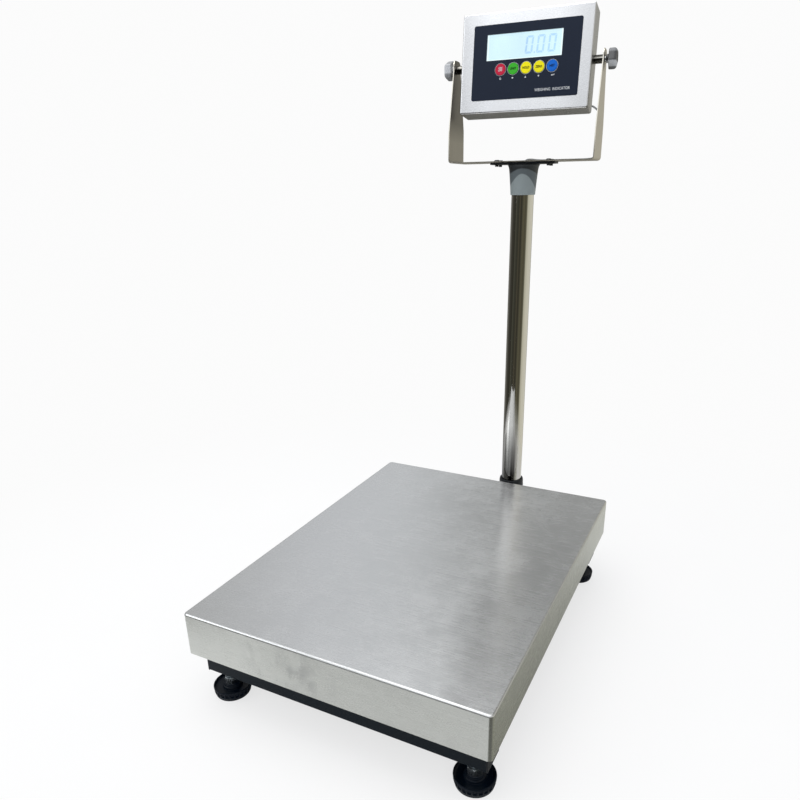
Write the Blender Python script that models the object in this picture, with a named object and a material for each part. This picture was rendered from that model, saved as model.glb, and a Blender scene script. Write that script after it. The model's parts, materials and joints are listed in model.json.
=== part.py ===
"""Animal weighing scale: a stainless platter on a four-foot painted base with a load cell,
and a column that carries a tilting indicator. Metres, +Z up, +X to the operator's right,
+Y towards the column, so the front is -Y. The origin is on the floor under the middle of the
whole footprint, which is 40 mm behind the middle of the platter. All shapes are drawn in
millimetres about the middle of the platter, and make() scales them and puts them in place."""

import math

import bmesh
import bpy
from mathutils import Matrix, Vector

for old in list(bpy.data.objects):
    bpy.data.objects.remove(old, do_unlink=True)

# ---- driving dimensions, millimetres; pairs named _Z are (bottom, top) -------------------
GAP = 0.3  # left between neighbouring pieces
OVERRUN = 5.0  # how far most cutters run past the piece they cut
SHIFT_Y = -40.1356  # from the platter's middle to the origin's frame
MM = 0.001

PLATTER_WIDTH, PLATTER_LENGTH, PLATTER_TOP = 450.0, 600.0, 148.0
PLATTER_SKIRT, PLATTER_SHEET = 65.0, 1.5
FOOT_X, FOOT_Y, FOOT_RADIUS = 190.0, 260.0, 27.5
TUBE, TUBE_WALL, TUBE_LENGTH = 40.0, 2.5, 422.0
TUBE_BOTTOM = 42.5
TUBE_Z = (TUBE_BOTTOM, TUBE_BOTTOM + TUBE)
TUBE_REAR = FOOT_Y + TUBE / 2  # rear face of the rear tube
BEAM_TOP = 75.0
CELL_WIDTH, CELL_LENGTH, CELL_Z = 38.0, 150.0, (81.0, 116.0)
CELL_BOLT_Y = (45.0, 63.0)  # lower bolts at +Y, upper bolts at -Y
DECK_Z = (121.3, 143.0)
POLE_X, POLE_Y, POLE_RADIUS, POLE_WALL = 30.0, 335.0, 19.05, 1.5
POLE_Z = (50.5, 704.0)
SOCKET_TOP, COLLAR_TOP = 133.0, 144.5
HEAD_Z = (672.0, 720.2)
FLANGE_TOP = 723.5
BRACKET_BOTTOM, BRACKET_SHEET = FLANGE_TOP + GAP, 1.5
ARM_X = 119.6  # inner face of each bracket arm from the column's axis
PIVOT_Z = 868.2
CASE_X, CASE_Z, CASE_Y = 209.0 / 2, 147.0 / 2, 48.0 / 2  # half sizes of the indicator
CASE_WALL = 1.5
TILT = math.radians(-7.4)  # leans the indicator's face upwards
SWIVEL = math.radians(4.2)  # turns the head on the column

RIGHT, BACK, UP = (1, 0, 0), (0, 1, 0), (0, 0, 1)
FORWARD, DOWN = (0, -1, 0), (0, 0, -1)
CORNERS = (("front_left", -1, -1), ("front_right", 1, -1),
           ("rear_left", -1, 1), ("rear_right", 1, 1))
SIDES = (("left", -1), ("right", 1))

# Head pieces are drawn square on the column, case pieces square about the pivot.
TURN = Matrix.Rotation(SWIVEL, 4, "Z")
PLACE_HEAD = (Matrix.Translation((POLE_X, POLE_Y, 0)) @ TURN
              @ Matrix.Translation((-POLE_X, -POLE_Y, 0)))
PLACE_CASE = (Matrix.Translation((POLE_X, POLE_Y, PIVOT_Z)) @ TURN
              @ Matrix.Rotation(TILT, 4, "X"))

PIECES = bpy.data.collections.new("animal_weighing_scale")
CUTTERS = bpy.data.collections.new("cutters")
bpy.context.scene.collection.children.link(PIECES)
bpy.context.scene.collection.children.link(CUTTERS)
CUTTERS.hide_render = True

# ---- materials ---------------------------------------------------------------------------
BLACK_PAINT = dict(color=(0.012, 0.014, 0.022), roughness=0.42, metallic=0.0)
BLACK_PLASTIC = dict(color=(0.02, 0.02, 0.022), roughness=0.5, metallic=0.0)
RUBBER = dict(color=(0.02, 0.02, 0.02), roughness=0.8, metallic=0.0)
ZINC = dict(color=(0.66, 0.66, 0.64), roughness=0.32, metallic=1.0)
BRUSHED_STEEL = dict(color=(0.62, 0.61, 0.58), roughness=0.34, metallic=1.0)
POLISHED_STEEL = dict(color=(0.72, 0.70, 0.67), roughness=0.08, metallic=1.0)
ALLOY = dict(color=(0.70, 0.71, 0.72), roughness=0.38, metallic=1.0)
GREY_PLASTIC = dict(color=(0.30, 0.33, 0.36), roughness=0.45, metallic=0.0)
OVERLAY_FILM = dict(color=(0.015, 0.022, 0.045), roughness=0.35, metallic=0.0)
CLEAR_PLASTIC = dict(color=(0.85, 0.93, 0.95), roughness=0.08, metallic=0.0)
LIT_LCD = dict(color=(0.62, 0.86, 0.93), roughness=0.4, metallic=0.0, glow=0.6)
GREEN_BOARD = dict(color=(0.02, 0.16, 0.07), roughness=0.55, metallic=0.0)
BATTERY_WRAP = dict(color=(0.03, 0.03, 0.035), roughness=0.5, metallic=0.0)


def material(name, color, roughness, metallic, glow=0.0):
    mat = bpy.data.materials.new(name)
    mat.use_nodes = True
    inputs = mat.node_tree.nodes["Principled BSDF"].inputs
    inputs["Base Color"].default_value = (*color, 1)
    inputs["Roughness"].default_value = roughness
    inputs["Metallic"].default_value = metallic
    if glow:
        inputs["Emission Color"].default_value = (*color, 1)
        inputs["Emission Strength"].default_value = glow
    return mat


# ---- shapes, each returned as a bmesh ----------------------------------------------------
def span(middle, half):
    return (middle - half, middle + half)


def inset(ends, by):
    """A span shortened at both ends, or lengthened if `by` is negative."""
    return (ends[0] + by, ends[1] - by)


def along(axis):
    """Picks the edges that run along one axis."""
    def pick(edge):
        way = edge.verts[1].co - edge.verts[0].co
        return abs(way[axis]) > 0.99 * way.length
    return pick


def bevel_edges(bm, edges, radius, segments):
    bmesh.ops.bevel(bm, geom=edges, offset=radius, segments=segments, profile=0.5,
                    affect="EDGES")


def box(xs, ys, zs, bevel=0.0, segments=1, pick=None):
    """A box over three spans, with all edges or only the picked ones bevelled."""
    bm = bmesh.new()
    bmesh.ops.create_cube(bm, size=1.0)
    spans = (xs, ys, zs)
    bmesh.ops.scale(bm, vec=[high - low for low, high in spans], verts=bm.verts)
    bmesh.ops.translate(bm, vec=[(low + high) / 2 for low, high in spans], verts=bm.verts)
    if bevel:
        edges = [e for e in bm.edges if pick is None or pick(e)]
        bevel_edges(bm, edges, bevel, segments)
    return bm


def rimmed_box(xs, ys, zs, axis, face, corner, rim, segments):
    """A box with the edges along an axis rounded, then the rim of its face at `face` on it."""
    bm = box(xs, ys, zs, corner, segments, along(axis))
    edges = [e for e in bm.edges if all(abs(v.co[axis] - face) < 1e-4 for v in e.verts)]
    bevel_edges(bm, edges, rim, segments)
    return bm


def aim(axis):
    """The rotation that takes +Z to the axis."""
    return Vector(axis).normalized().to_track_quat("Z", "Y").to_matrix().to_4x4()


def cylinder(start, axis, radius, length, sides=32, turn=0.0, end_radius=None):
    """A cylinder from `start` along the axis, or a cone if it has an end radius."""
    bm = bmesh.new()
    bmesh.ops.create_cone(bm, cap_ends=True, segments=sides, radius1=radius,
                          radius2=radius if end_radius is None else end_radius, depth=length)
    middle = Vector(start) + Vector(axis).normalized() * length / 2
    place = Matrix.Translation(middle) @ aim(axis) @ Matrix.Rotation(turn, 4, "Z")
    bmesh.ops.transform(bm, matrix=place, verts=bm.verts)
    return bm


def cylinders(starts, axis, radius, length, sides):
    return [cylinder(start, axis, radius, length, sides) for start in starts]


def lathe(profile, sides, at, axis=UP):
    """Revolves a closed (radius, height) loop about the axis; points at radius 0 lie on it."""
    bm = bmesh.new()
    place = Matrix.Translation(Vector(at)) @ aim(axis)
    rings = []
    for r, h in profile:
        if r < 1e-6:
            rings.append([bm.verts.new(place @ Vector((0, 0, h)))] * sides)
            continue
        angles = [math.tau * i / sides for i in range(sides)]
        rings.append([bm.verts.new(place @ Vector((r * math.cos(a), r * math.sin(a), h)))
                      for a in angles])
    for low, high in zip(rings, rings[1:] + rings[:1]):
        for i in range(sides):
            j = (i + 1) % sides
            corners = []
            for vert in (low[i], low[j], high[j], high[i]):
                if vert not in corners:
                    corners.append(vert)
            if len(corners) >= 3:
                bm.faces.new(corners)
    return bm


def loft(rings):
    """A closed skin through rings of equally many points."""
    bm = bmesh.new()
    rows = [[bm.verts.new(point) for point in ring] for ring in rings]
    for low, high in zip(rows, rows[1:]):
        for i in range(len(low)):
            j = (i + 1) % len(low)
            bm.faces.new((low[i], low[j], high[j], high[i]))
    bm.faces.new(rows[0])
    bm.faces.new(rows[-1])
    return bm


def prism(outline, axis, ends):
    """Extrudes an outline along an axis. Axis 0: outline in (y, z); 1: (x, z); 2: (x, y)."""
    def at(point, h):
        a, b = point
        return {0: (h, a, b), 1: (a, h, b), 2: (a, b, h)}[axis]
    return loft([[at(point, h) for point in outline] for h in ends])


def rounded(across, upward, radius, segments):
    """The outline of a rectangle with rounded corners."""
    left, right = inset(across, radius)
    low, high = inset(upward, radius)
    points = []
    for x, y, start in ((right, high, 0), (left, high, 90), (left, low, 180), (right, low, 270)):
        for i in range(segments + 1):
            a = math.radians(start + 90 * i / segments)
            points.append((x + radius * math.cos(a), y + radius * math.sin(a)))
    return points


# ---- turning shapes into pieces ----------------------------------------------------------
def add_object(bm, name, collection):
    bmesh.ops.recalc_face_normals(bm, faces=bm.faces)
    mesh = bpy.data.meshes.new(name)
    bm.to_mesh(mesh)
    bm.free()
    obj = bpy.data.objects.new(name, mesh)
    collection.objects.link(obj)
    return obj


def apply_booleans(obj, steps):
    """Replaces the object's mesh by the result of (operation, shape) steps."""
    if not steps:
        return
    helpers = []
    for i, (operation, shape) in enumerate(steps):
        helper = add_object(shape, f"{obj.name}_{operation.lower()}_{i}", CUTTERS)
        helpers.append(helper)
        mod = obj.modifiers.new(f"{operation.lower()}_{i}", "BOOLEAN")
        mod.operation = operation
        mod.object = helper
        mod.solver = "EXACT"
    bpy.context.view_layer.update()
    graph = bpy.context.evaluated_depsgraph_get()
    result = bpy.data.meshes.new_from_object(obj.evaluated_get(graph))
    obj.modifiers.clear()
    obj.data = result
    for helper in helpers:
        bpy.data.objects.remove(helper, do_unlink=True)


def intersection(base, other):
    """The part two shapes share."""
    obj = add_object(base, "intersection", CUTTERS)
    apply_booleans(obj, [("INTERSECT", other)])
    bm = bmesh.new()
    bm.from_mesh(obj.data)
    bpy.data.objects.remove(obj, do_unlink=True)
    return bm


def make(name, look, base, add=(), cut=(), origin=(0, 0, 0), place=Matrix(), smooth=30):
    """One piece: base joined with `add`, cut by `cut`, then moved by `place` with its origin."""
    obj = add_object(base, name, PIECES)
    apply_booleans(obj, [("UNION", bm) for bm in add] + [("DIFFERENCE", bm) for bm in cut])
    origin = place @ Vector(origin)
    obj.data.transform(place)
    obj.data.transform(Matrix.Translation(-origin))
    obj.data.transform(Matrix.Scale(MM, 4))
    obj.location = (origin + Vector((0, SHIFT_Y, 0))) * MM
    obj.data.materials.clear()
    obj.data.materials.append(material(name, **look))
    obj.data.shade_smooth()
    obj.data.set_sharp_from_angle(angle=math.radians(smooth))


# ---- base frame: two cross tubes joined by a beam ----------------------------------------
BEAM_WIDTH, BEAM_WALL = 54.0, 3.0
BEAM_Z = (TUBE_BOTTOM + 1, BEAM_TOP)
BEAM_LAP = 4.0  # the beam runs this far into each tube
BEAM_HOLLOW_Y = FOOT_Y - 10
BEAM_BORES = ((7.6, 12), (4.4, 40))  # radius, length: through the floor, through the top
SOCKET_BOLT_X, SOCKET_BOLT_Z, SOCKET_BOLT_BORE = 30.0, 65.0, 4.4
CAP_THICKNESS, CAP_PLUG_DEPTH, CAP_PLUG_PLAY = 2.2, 8.0, 0.4


def socket_bolt_bores(y, length):
    """The pair of holes that the socket plate and the rear tube have in common."""
    starts = [(POLE_X + side * SOCKET_BOLT_X, y, SOCKET_BOLT_Z) for side in (-1, 1)]
    return cylinders(starts, BACK, SOCKET_BOLT_BORE, length, 16)


def build_base_frame():
    xs = span(0, TUBE_LENGTH / 2)
    tubes = [box(xs, span(side * FOOT_Y, TUBE / 2), TUBE_Z, 3.0, 2, along(0))
             for side in (-1, 1)]
    beam = box(span(0, BEAM_WIDTH / 2), span(0, FOOT_Y - TUBE / 2 + BEAM_LAP), BEAM_Z)
    cuts = [box(inset(xs, -OVERRUN), span(side * FOOT_Y, TUBE / 2 - TUBE_WALL),
                inset(TUBE_Z, TUBE_WALL)) for side in (-1, 1)]
    cuts.append(box(span(0, BEAM_WIDTH / 2 - BEAM_WALL), span(0, BEAM_HOLLOW_Y),
                    inset(BEAM_Z, BEAM_WALL)))
    bore_z = TUBE_BOTTOM - OVERRUN
    foot_points = [(sx * FOOT_X, sy * FOOT_Y, bore_z) for _, sx, sy in CORNERS]
    cuts += cylinders(foot_points, UP, 6.6, 15, 24)
    cuts += [cylinder((0, y, bore_z), UP, radius, length, 20)
             for y in CELL_BOLT_Y for radius, length in BEAM_BORES]
    cuts += socket_bolt_bores(TUBE_REAR - 10, 20)
    make("base_frame", BLACK_PAINT, tubes[0], [tubes[1], beam], cuts)


def build_tube_caps():
    margin = TUBE_WALL + CAP_PLUG_PLAY
    for name, sx, sy in CORNERS:
        x = sx * (TUBE_LENGTH / 2 + GAP)
        lid = box(sorted((x, x + sx * CAP_THICKNESS)), span(sy * FOOT_Y, TUBE / 2), TUBE_Z,
                  0.9, 2)
        plug = box(sorted((x - sx * CAP_PLUG_DEPTH, x + sx * 0.8)),
                   span(sy * FOOT_Y, TUBE / 2 - margin), inset(TUBE_Z, margin))
        make(f"tube_cap_{name}", BLACK_PLASTIC, lid, [plug])


# ---- feet: ribbed pad, threaded stud and locknut -----------------------------------------
# (radius, height above the floor)
PAD_PROFILE = [
    (0, 0), (25.6, 0), (26.6, 1.0), (26.6, 13.2), (25.8, 14.6), (24.2, 14.6),
    (23.2, 13.4), (14.5, 13.0), (12.6, 14.6), (11.8, 17.6), (9.0, 18.0), (0, 18.0)]
STUD_PROFILE = [
    (0, 8.6), (4.6, 8.6), (5.1, 9.4), (5.1, 19.4), (5.7, 19.9), (5.7, 62.6),
    (4.9, 63.4), (0, 63.4)]
RIB_BARS = 6  # bars across the pad; each makes two ribs
RIB_HALF_WIDTH, RIB_Z = 2.3, (1.2, 12.6)
NUT_DROP, NUT_HEIGHT = 8.8, 8.4  # the nut's underside below the tube


def pad_rib_bar(x, y, index):
    bar = box(span(0, FOOT_RADIUS), span(0, RIB_HALF_WIDTH), RIB_Z)
    turn = Matrix.Rotation(math.pi * (index + 0.5) / RIB_BARS, 4, "Z")
    bmesh.ops.transform(bar, matrix=Matrix.Translation((x, y, 0)) @ turn, verts=bar.verts)
    return bar


def build_feet():
    for name, sx, sy in CORNERS:
        x, y = sx * FOOT_X, sy * FOOT_Y
        foot = (x, y, 0)
        make(f"foot_pad_{name}", RUBBER, lathe(PAD_PROFILE, 36, foot),
             [pad_rib_bar(x, y, i) for i in range(RIB_BARS)],
             [cylinder((x, y, 7), UP, 5.7, 20, 24)], origin=foot)
        hexagon = cylinder((x, y, 18.6), UP, 10.6, 9.8, 6, math.radians(10))
        make(f"foot_stud_{name}", ZINC, lathe(STUD_PROFILE, 20, foot), [hexagon], origin=foot)
        nut = cylinder((x, y, TUBE_BOTTOM - NUT_DROP), UP, 10.4, NUT_HEIGHT, 6,
                       math.radians(25))
        make(f"foot_locknut_{name}", ZINC, nut,
             cut=[cylinder((x, y, 30), UP, 6.05, 20, 24)], origin=foot)


# ---- load cell, spacers and bolts --------------------------------------------------------
EYE_Y, EYE_RADIUS, EYE_SLOT_HALF = 15.0, 9.0, 4.0  # two round holes joined by a slot
SPACER_INNER_Y = 36.0
# name, side in Y, (bottom, top), height where the bore cutters start
SPACERS = (("lower", 1, (BEAM_TOP, CELL_Z[0]), 70), ("upper", -1, (CELL_Z[1], DECK_Z[0]), 110))
# name, side in Y, head z, head height, shank z, shank length, hexagon recess z, origin z
CELL_BOLTS = (("lower", 1, 63.4, 8.2, 70, 26, 60, 80), ("upper", -1, 127.9, 8.0, 101, 30, 132, 120))


def cell_bolt_points(side, z):
    return [(0, side * y, z) for y in CELL_BOLT_Y]


def build_load_cell():
    xs = span(0, CELL_WIDTH / 2)
    cut_xs = inset(xs, -OVERRUN)
    eye_z = sum(CELL_Z) / 2
    cuts = cylinders([(cut_xs[0], y, eye_z) for y in (-EYE_Y, EYE_Y)], RIGHT, EYE_RADIUS,
                     CELL_WIDTH + 2 * OVERRUN, 24)
    cuts.append(box(cut_xs, span(0, EYE_Y), span(eye_z, EYE_SLOT_HALF)))
    cuts += cylinders(cell_bolt_points(1, CELL_Z[0] - OVERRUN), UP, 4.3, 25, 16)
    cuts += cylinders(cell_bolt_points(-1, CELL_Z[1] + OVERRUN), DOWN, 4.3, 25, 16)
    make("load_cell", ALLOY, box(xs, span(0, CELL_LENGTH / 2), CELL_Z, 1.0), cut=cuts)


def build_cell_spacers():
    for name, side, zs, bore_z in SPACERS:
        ys = sorted((side * SPACER_INNER_Y, side * CELL_LENGTH / 2))
        make(f"load_cell_{name}_spacer", BLACK_PAINT,
             box(span(0, CELL_WIDTH / 2), ys, inset(zs, GAP)),
             cut=cylinders(cell_bolt_points(side, bore_z), UP, 4.5, 20, 16))


def build_cell_bolts():
    for name, side, head_z, head_height, shank_z, shank_length, recess_z, origin_z in CELL_BOLTS:
        for end, y in zip(("front", "rear"), sorted(side * y for y in CELL_BOLT_Y)):
            make(f"load_cell_{name}_bolt_{end}", ZINC,
                 cylinder((0, y, head_z), UP, 6.4, head_height, 20),
                 [cylinder((0, y, shank_z), UP, 3.9, shank_length, 16)],
                 [cylinder((0, y, recess_z), UP, 3.4, 8, 6)], origin=(0, y, origin_z))


# ---- top frame, cushions and platter -----------------------------------------------------
RAIL_X, RAIL_WIDTH, RAIL_END_Y = 165.0, 28.0, 268.0
DECK_WALL = 2.0
CROSS_Y, CROSS_DROP = 130.0, 0.2  # the cross tubes stop this far inside the rails' faces
CENTRE_PLATE_X, CENTRE_PLATE_Y, CENTRE_PLATE_THICKNESS = 40.0, 118.0, 6.0
CUSHION_Y = 245.0
PAN_CORNER_RADIUS, PAN_RIM_RADIUS = 6.0, 4.0


def build_top_frame():
    half = RAIL_WIDTH / 2
    rail_ys = span(0, RAIL_END_Y)
    cross_xs = span(0, RAIL_X)
    rails = [box(span(side * RAIL_X, half), rail_ys, DECK_Z, 2.0, 1, along(1))
             for side in (-1, 1)]
    crosses = [box(cross_xs, span(y, half), inset(DECK_Z, CROSS_DROP))
               for y in (-CROSS_Y, CROSS_Y)]
    plate = box(span(0, CENTRE_PLATE_X), span(0, CENTRE_PLATE_Y),
                (DECK_Z[0], DECK_Z[0] + CENTRE_PLATE_THICKNESS))
    cuts = [box(span(side * RAIL_X, half - DECK_WALL), inset(rail_ys, -OVERRUN),
                inset(DECK_Z, DECK_WALL)) for side in (-1, 1)]
    cuts += [box(cross_xs, span(y, half - DECK_WALL), inset(DECK_Z, CROSS_DROP + DECK_WALL))
             for y in (-CROSS_Y, CROSS_Y)]
    plug_points = [(sx * RAIL_X, sy * CUSHION_Y, DECK_Z[1] - 6) for _, sx, sy in CORNERS]
    cuts += cylinders(plug_points, UP, 5.2, 12, 20)
    cuts += cylinders(cell_bolt_points(-1, DECK_Z[0] - OVERRUN), UP, 4.5, 20, 16)
    make("top_frame", BLACK_PAINT, rails[0], [rails[1], plate] + crosses, cuts)


def build_cushions():
    deck = DECK_Z[1]
    top = PLATTER_TOP - PLATTER_SHEET - GAP
    profile = [(0, deck - 4.5), (4.6, deck - 4.5), (4.6, deck + GAP), (12.5, deck + GAP),
               (12.5, top - 0.8), (11.7, top), (0, top)]
    for name, sx, sy in CORNERS:
        x, y = sx * RAIL_X, sy * CUSHION_Y
        make(f"platter_cushion_{name}", RUBBER, lathe(profile, 28, (x, y, 0)),
             origin=(x, y, deck))


def pan_block(margin, bottom):
    """The pan's outer block, or the hollow inside it when given a margin."""
    top = PLATTER_TOP - margin
    return rimmed_box(span(0, PLATTER_WIDTH / 2 - margin), span(0, PLATTER_LENGTH / 2 - margin),
                      (bottom, top), 2, top, PAN_CORNER_RADIUS - margin,
                      PAN_RIM_RADIUS - margin, 4)


def build_platter():
    bottom = PLATTER_TOP - PLATTER_SKIRT
    make("platter_pan", BRUSHED_STEEL, pan_block(0, bottom),
         cut=[pan_block(PLATTER_SHEET, bottom - 10)], origin=(0, 0, PLATTER_TOP))


# ---- column: socket, collar and tube -----------------------------------------------------
SLEEVE_BOTTOM, SLEEVE_RADIUS = 44.0, 23.5
SOCKET_PLATE_X, SOCKET_PLATE_THICKNESS = 45.0, 5.0
SOCKET_WEB_X, SOCKET_WEB_Z = 18.0, (50, 80)
COLLAR_BORE, COLLAR_RADIUS = 19.5, 23.2


def build_socket():
    sleeve = cylinder((POLE_X, POLE_Y, SLEEVE_BOTTOM), UP, SLEEVE_RADIUS,
                      SOCKET_TOP - SLEEVE_BOTTOM, 40)
    plate_y = TUBE_REAR + GAP
    plate = box(span(POLE_X, SOCKET_PLATE_X), (plate_y, plate_y + SOCKET_PLATE_THICKNESS),
                inset(TUBE_Z, 1))
    web = box(span(POLE_X, SOCKET_WEB_X), (TUBE_REAR + 3, POLE_Y - 14), SOCKET_WEB_Z)
    cuts = [cylinder((POLE_X, POLE_Y, 50), UP, POLE_RADIUS + 0.35, 100, 40),  # column bore
            cylinder((POLE_X, POLE_Y, 40), UP, 9, 20, 20),  # hole in the floor
            cylinder((POLE_X, POLE_Y + 15, 92), BACK, 4.3, 15, 16)]  # hole in the rear wall
    cuts += socket_bolt_bores(TUBE_REAR - 3, 14)
    make("column_socket", BLACK_PAINT, sleeve, [plate, web], cuts)


def build_collar():
    bottom = SOCKET_TOP + GAP
    profile = [(COLLAR_BORE, bottom), (COLLAR_RADIUS, bottom), (COLLAR_RADIUS, COLLAR_TOP - 3.4),
               (21.8, COLLAR_TOP), (COLLAR_BORE, COLLAR_TOP)]
    make("socket_collar", BLACK_PLASTIC, lathe(profile, 40, (POLE_X, POLE_Y, 0)),
         origin=(POLE_X, POLE_Y, SOCKET_TOP))


def build_column_tube():
    bore = POLE_RADIUS - POLE_WALL
    bottom, top = POLE_Z
    profile = [(bore, bottom), (POLE_RADIUS, bottom), (POLE_RADIUS, top), (bore, top)]
    foot = (POLE_X, POLE_Y, 0)
    make("column_tube", POLISHED_STEEL, lathe(profile, 48, foot), origin=foot)


# ---- column head, flange, bracket and screws ---------------------------------------------
# (radius, height)
HEAD_PROFILE = [
    (19.4, HEAD_Z[0]), (20.4, HEAD_Z[0]), (20.9, HEAD_Z[0] + 1), (22.6, 700), (24.4, 710),
    (26.5, 715.5), (30.0, HEAD_Z[1] - 1.6), (30.0, HEAD_Z[1]), (10.0, HEAD_Z[1]),
    (10.0, 706), (19.4, 706)]
# (x, y) from the column's axis
FLANGE_OUTLINE = [(-55, -14), (-36, -27), (36, -27), (55, -14),
                  (55, 14), (36, 27), (-36, 27), (-55, 14)]
SCREW_X, SCREW_Y = 44.0, 11.5
BEND_RADIUS = 3.5  # inside the bracket's bends
BLANK_TOP, BLANK_Y, TRIM_X = 900.0, 45.0, 140.0  # sheet before trimming, width of the trimmer
ARM_FRONT, ARM_REAR, ARM_SHOULDER, ARM_TOP, ARM_ROUND = 40.5, 36.5, 17.0, 13.6, 9.0


def mounting_holes(centre_radius, z, length):
    """A hole on the column's axis and the four screw holes around it."""
    starts = [(POLE_X + sx * SCREW_X, POLE_Y + sy * SCREW_Y, z) for _, sx, sy in CORNERS]
    return ([cylinder((POLE_X, POLE_Y, z), UP, centre_radius, length, 24)]
            + cylinders(starts, UP, 3.3, length, 16))


def build_column_head():
    make("column_head", GREY_PLASTIC, lathe(HEAD_PROFILE, 40, (POLE_X, POLE_Y, 0)),
         origin=(POLE_X, POLE_Y, HEAD_Z[0]), place=PLACE_HEAD)


def build_flange():
    outline = [(POLE_X + x, POLE_Y + y) for x, y in FLANGE_OUTLINE]
    make("head_flange", BLACK_PLASTIC, prism(outline, 2, (HEAD_Z[1] + GAP, FLANGE_TOP)),
         cut=mounting_holes(10, 700, 40), origin=(POLE_X, POLE_Y, HEAD_Z[1]),
         place=PLACE_HEAD)


def bend_arc(side, radius, bottom):
    """One bend of the U, from its floor up to the arm."""
    angles = [math.radians(d) for d in (0, 22.5, 45, 67.5, 90)]
    return [(side * (ARM_X - BEND_RADIUS + radius * math.sin(a)),
             bottom + radius * (1 - math.cos(a))) for a in angles]


def u_outline():
    """The bent sheet seen from the front, in (x, z)."""
    outer_left, outer_right = [
        bend_arc(side, BEND_RADIUS + BRACKET_SHEET, BRACKET_BOTTOM) for side in (-1, 1)]
    inner_left, inner_right = [
        bend_arc(side, BEND_RADIUS, BRACKET_BOTTOM + BRACKET_SHEET) for side in (-1, 1)]
    outer_x = ARM_X + BRACKET_SHEET
    loop = [(-outer_x, BLANK_TOP)] + outer_left[::-1] + outer_right
    loop += [(outer_x, BLANK_TOP), (ARM_X, BLANK_TOP)]
    loop += inner_right[::-1] + inner_left + [(-ARM_X, BLANK_TOP)]
    return [(POLE_X + x, z) for x, z in loop]


def arm_outline():
    """The bracket seen from the side, in (y, z), with a rounded top at the pivot."""
    bottom = BRACKET_BOTTOM - OVERRUN
    points = [(-ARM_FRONT, bottom), (ARM_REAR, bottom), (ARM_REAR, BRACKET_BOTTOM + 54),
              (ARM_SHOULDER, PIVOT_Z - 2)]
    for side, start in ((1, 0), (-1, 90)):
        for degrees in range(start, start + 91, 15):
            a = math.radians(degrees)
            points.append((side * (ARM_SHOULDER - ARM_ROUND) + ARM_ROUND * math.cos(a),
                           PIVOT_Z + ARM_TOP - ARM_ROUND + ARM_ROUND * math.sin(a)))
    points += [(-ARM_SHOULDER, PIVOT_Z - 2), (-ARM_FRONT, BRACKET_BOTTOM + 47)]
    return [(POLE_Y + y, z) for y, z in points]


def build_bracket():
    sheet = intersection(prism(u_outline(), 1, span(POLE_Y, BLANK_Y)),
                         prism(arm_outline(), 0, span(POLE_X, TRIM_X)))
    pivot_bore = cylinder((POLE_X - TRIM_X, POLE_Y, PIVOT_Z), RIGHT, 4.6, 2 * TRIM_X, 24)
    make("indicator_bracket", BRUSHED_STEEL, sheet,
         cut=[pivot_bore] + mounting_holes(9.0, 715, 20),
         origin=(POLE_X, POLE_Y, BRACKET_BOTTOM), place=PLACE_HEAD)


def build_bracket_screws():
    seat = BRACKET_BOTTOM + BRACKET_SHEET + GAP
    profile = [(0, 717.4), (2.5, 717.4), (2.9, 718.0), (2.9, seat), (4.9, seat),
               (4.7, seat + 1.2), (3.4, seat + 2.4), (0, seat + 2.7)]
    slot_z = (seat + 1.5, seat + 5)
    for name, sx, sy in CORNERS:
        x, y = POLE_X + sx * SCREW_X, POLE_Y + sy * SCREW_Y
        cross_slots = [box(span(x, half_x), span(y, half_y), slot_z)
                       for half_x, half_y in ((2.2, 0.45), (0.45, 2.2))]
        make(f"bracket_screw_{name}", ZINC, lathe(profile, 24, (x, y, 0)), cut=cross_slots,
             origin=(x, y, BRACKET_BOTTOM), place=PLACE_HEAD)


# ---- indicator, in the case's own frame: the pivot is at 0, the face at -CASE_Y ----------
FACE = -CASE_Y
SPLIT_Y = 16.0  # rear edge of the front housing
WINDOW_X, WINDOW_Z = (-62.6, 58.2), (3.2, 40.8)
GLAND_X, GLAND_Z = 60.0, -50.0
KEY_Z, FIRST_KEY_X, KEY_PITCH = -10.7, -38.2, 20.75
# name, colour, from left to right
KEYS = (("red", (0.70, 0.03, 0.04)), ("green", (0.02, 0.42, 0.10)),
        ("yellow_left", (0.88, 0.74, 0.03)), ("yellow_right", (0.88, 0.74, 0.03)),
        ("blue", (0.03, 0.20, 0.62)))
KEY_X = [FIRST_KEY_X + i * KEY_PITCH for i in range(len(KEYS))]
KEY_PROFILE = [(0, 0), (8.4, 0), (8.4, 2.5), (7.9, 3.0), (0, 3.1)]  # (radius, height)
# x, y and z spans of the three blocks on the board
BOARD_PARTS = (((-60, -30), (-6.6, 3.5), (-58, -46)),
               ((20, 48), (-6.6, -3.2), (-30, -4)),
               ((-20, 0), (-6.6, -3.6), (10, 30)))


def face_openings():
    """Cutters for the display window and the key holes."""
    window = box(WINDOW_X, (FACE - OVERRUN, FACE + 8), WINDOW_Z)
    starts = [(x, FACE - OVERRUN, KEY_Z) for x in KEY_X]
    return [window] + cylinders(starts, BACK, 8.9, 15, 32)


def housing_block(margin, rear, corner, rim, segments):
    """The front housing's outer block, or the hollow inside it when given a margin."""
    face = FACE + margin
    return rimmed_box(span(0, CASE_X - margin), (face, rear), span(0, CASE_Z - margin),
                      1, face, corner, rim, segments)


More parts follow.
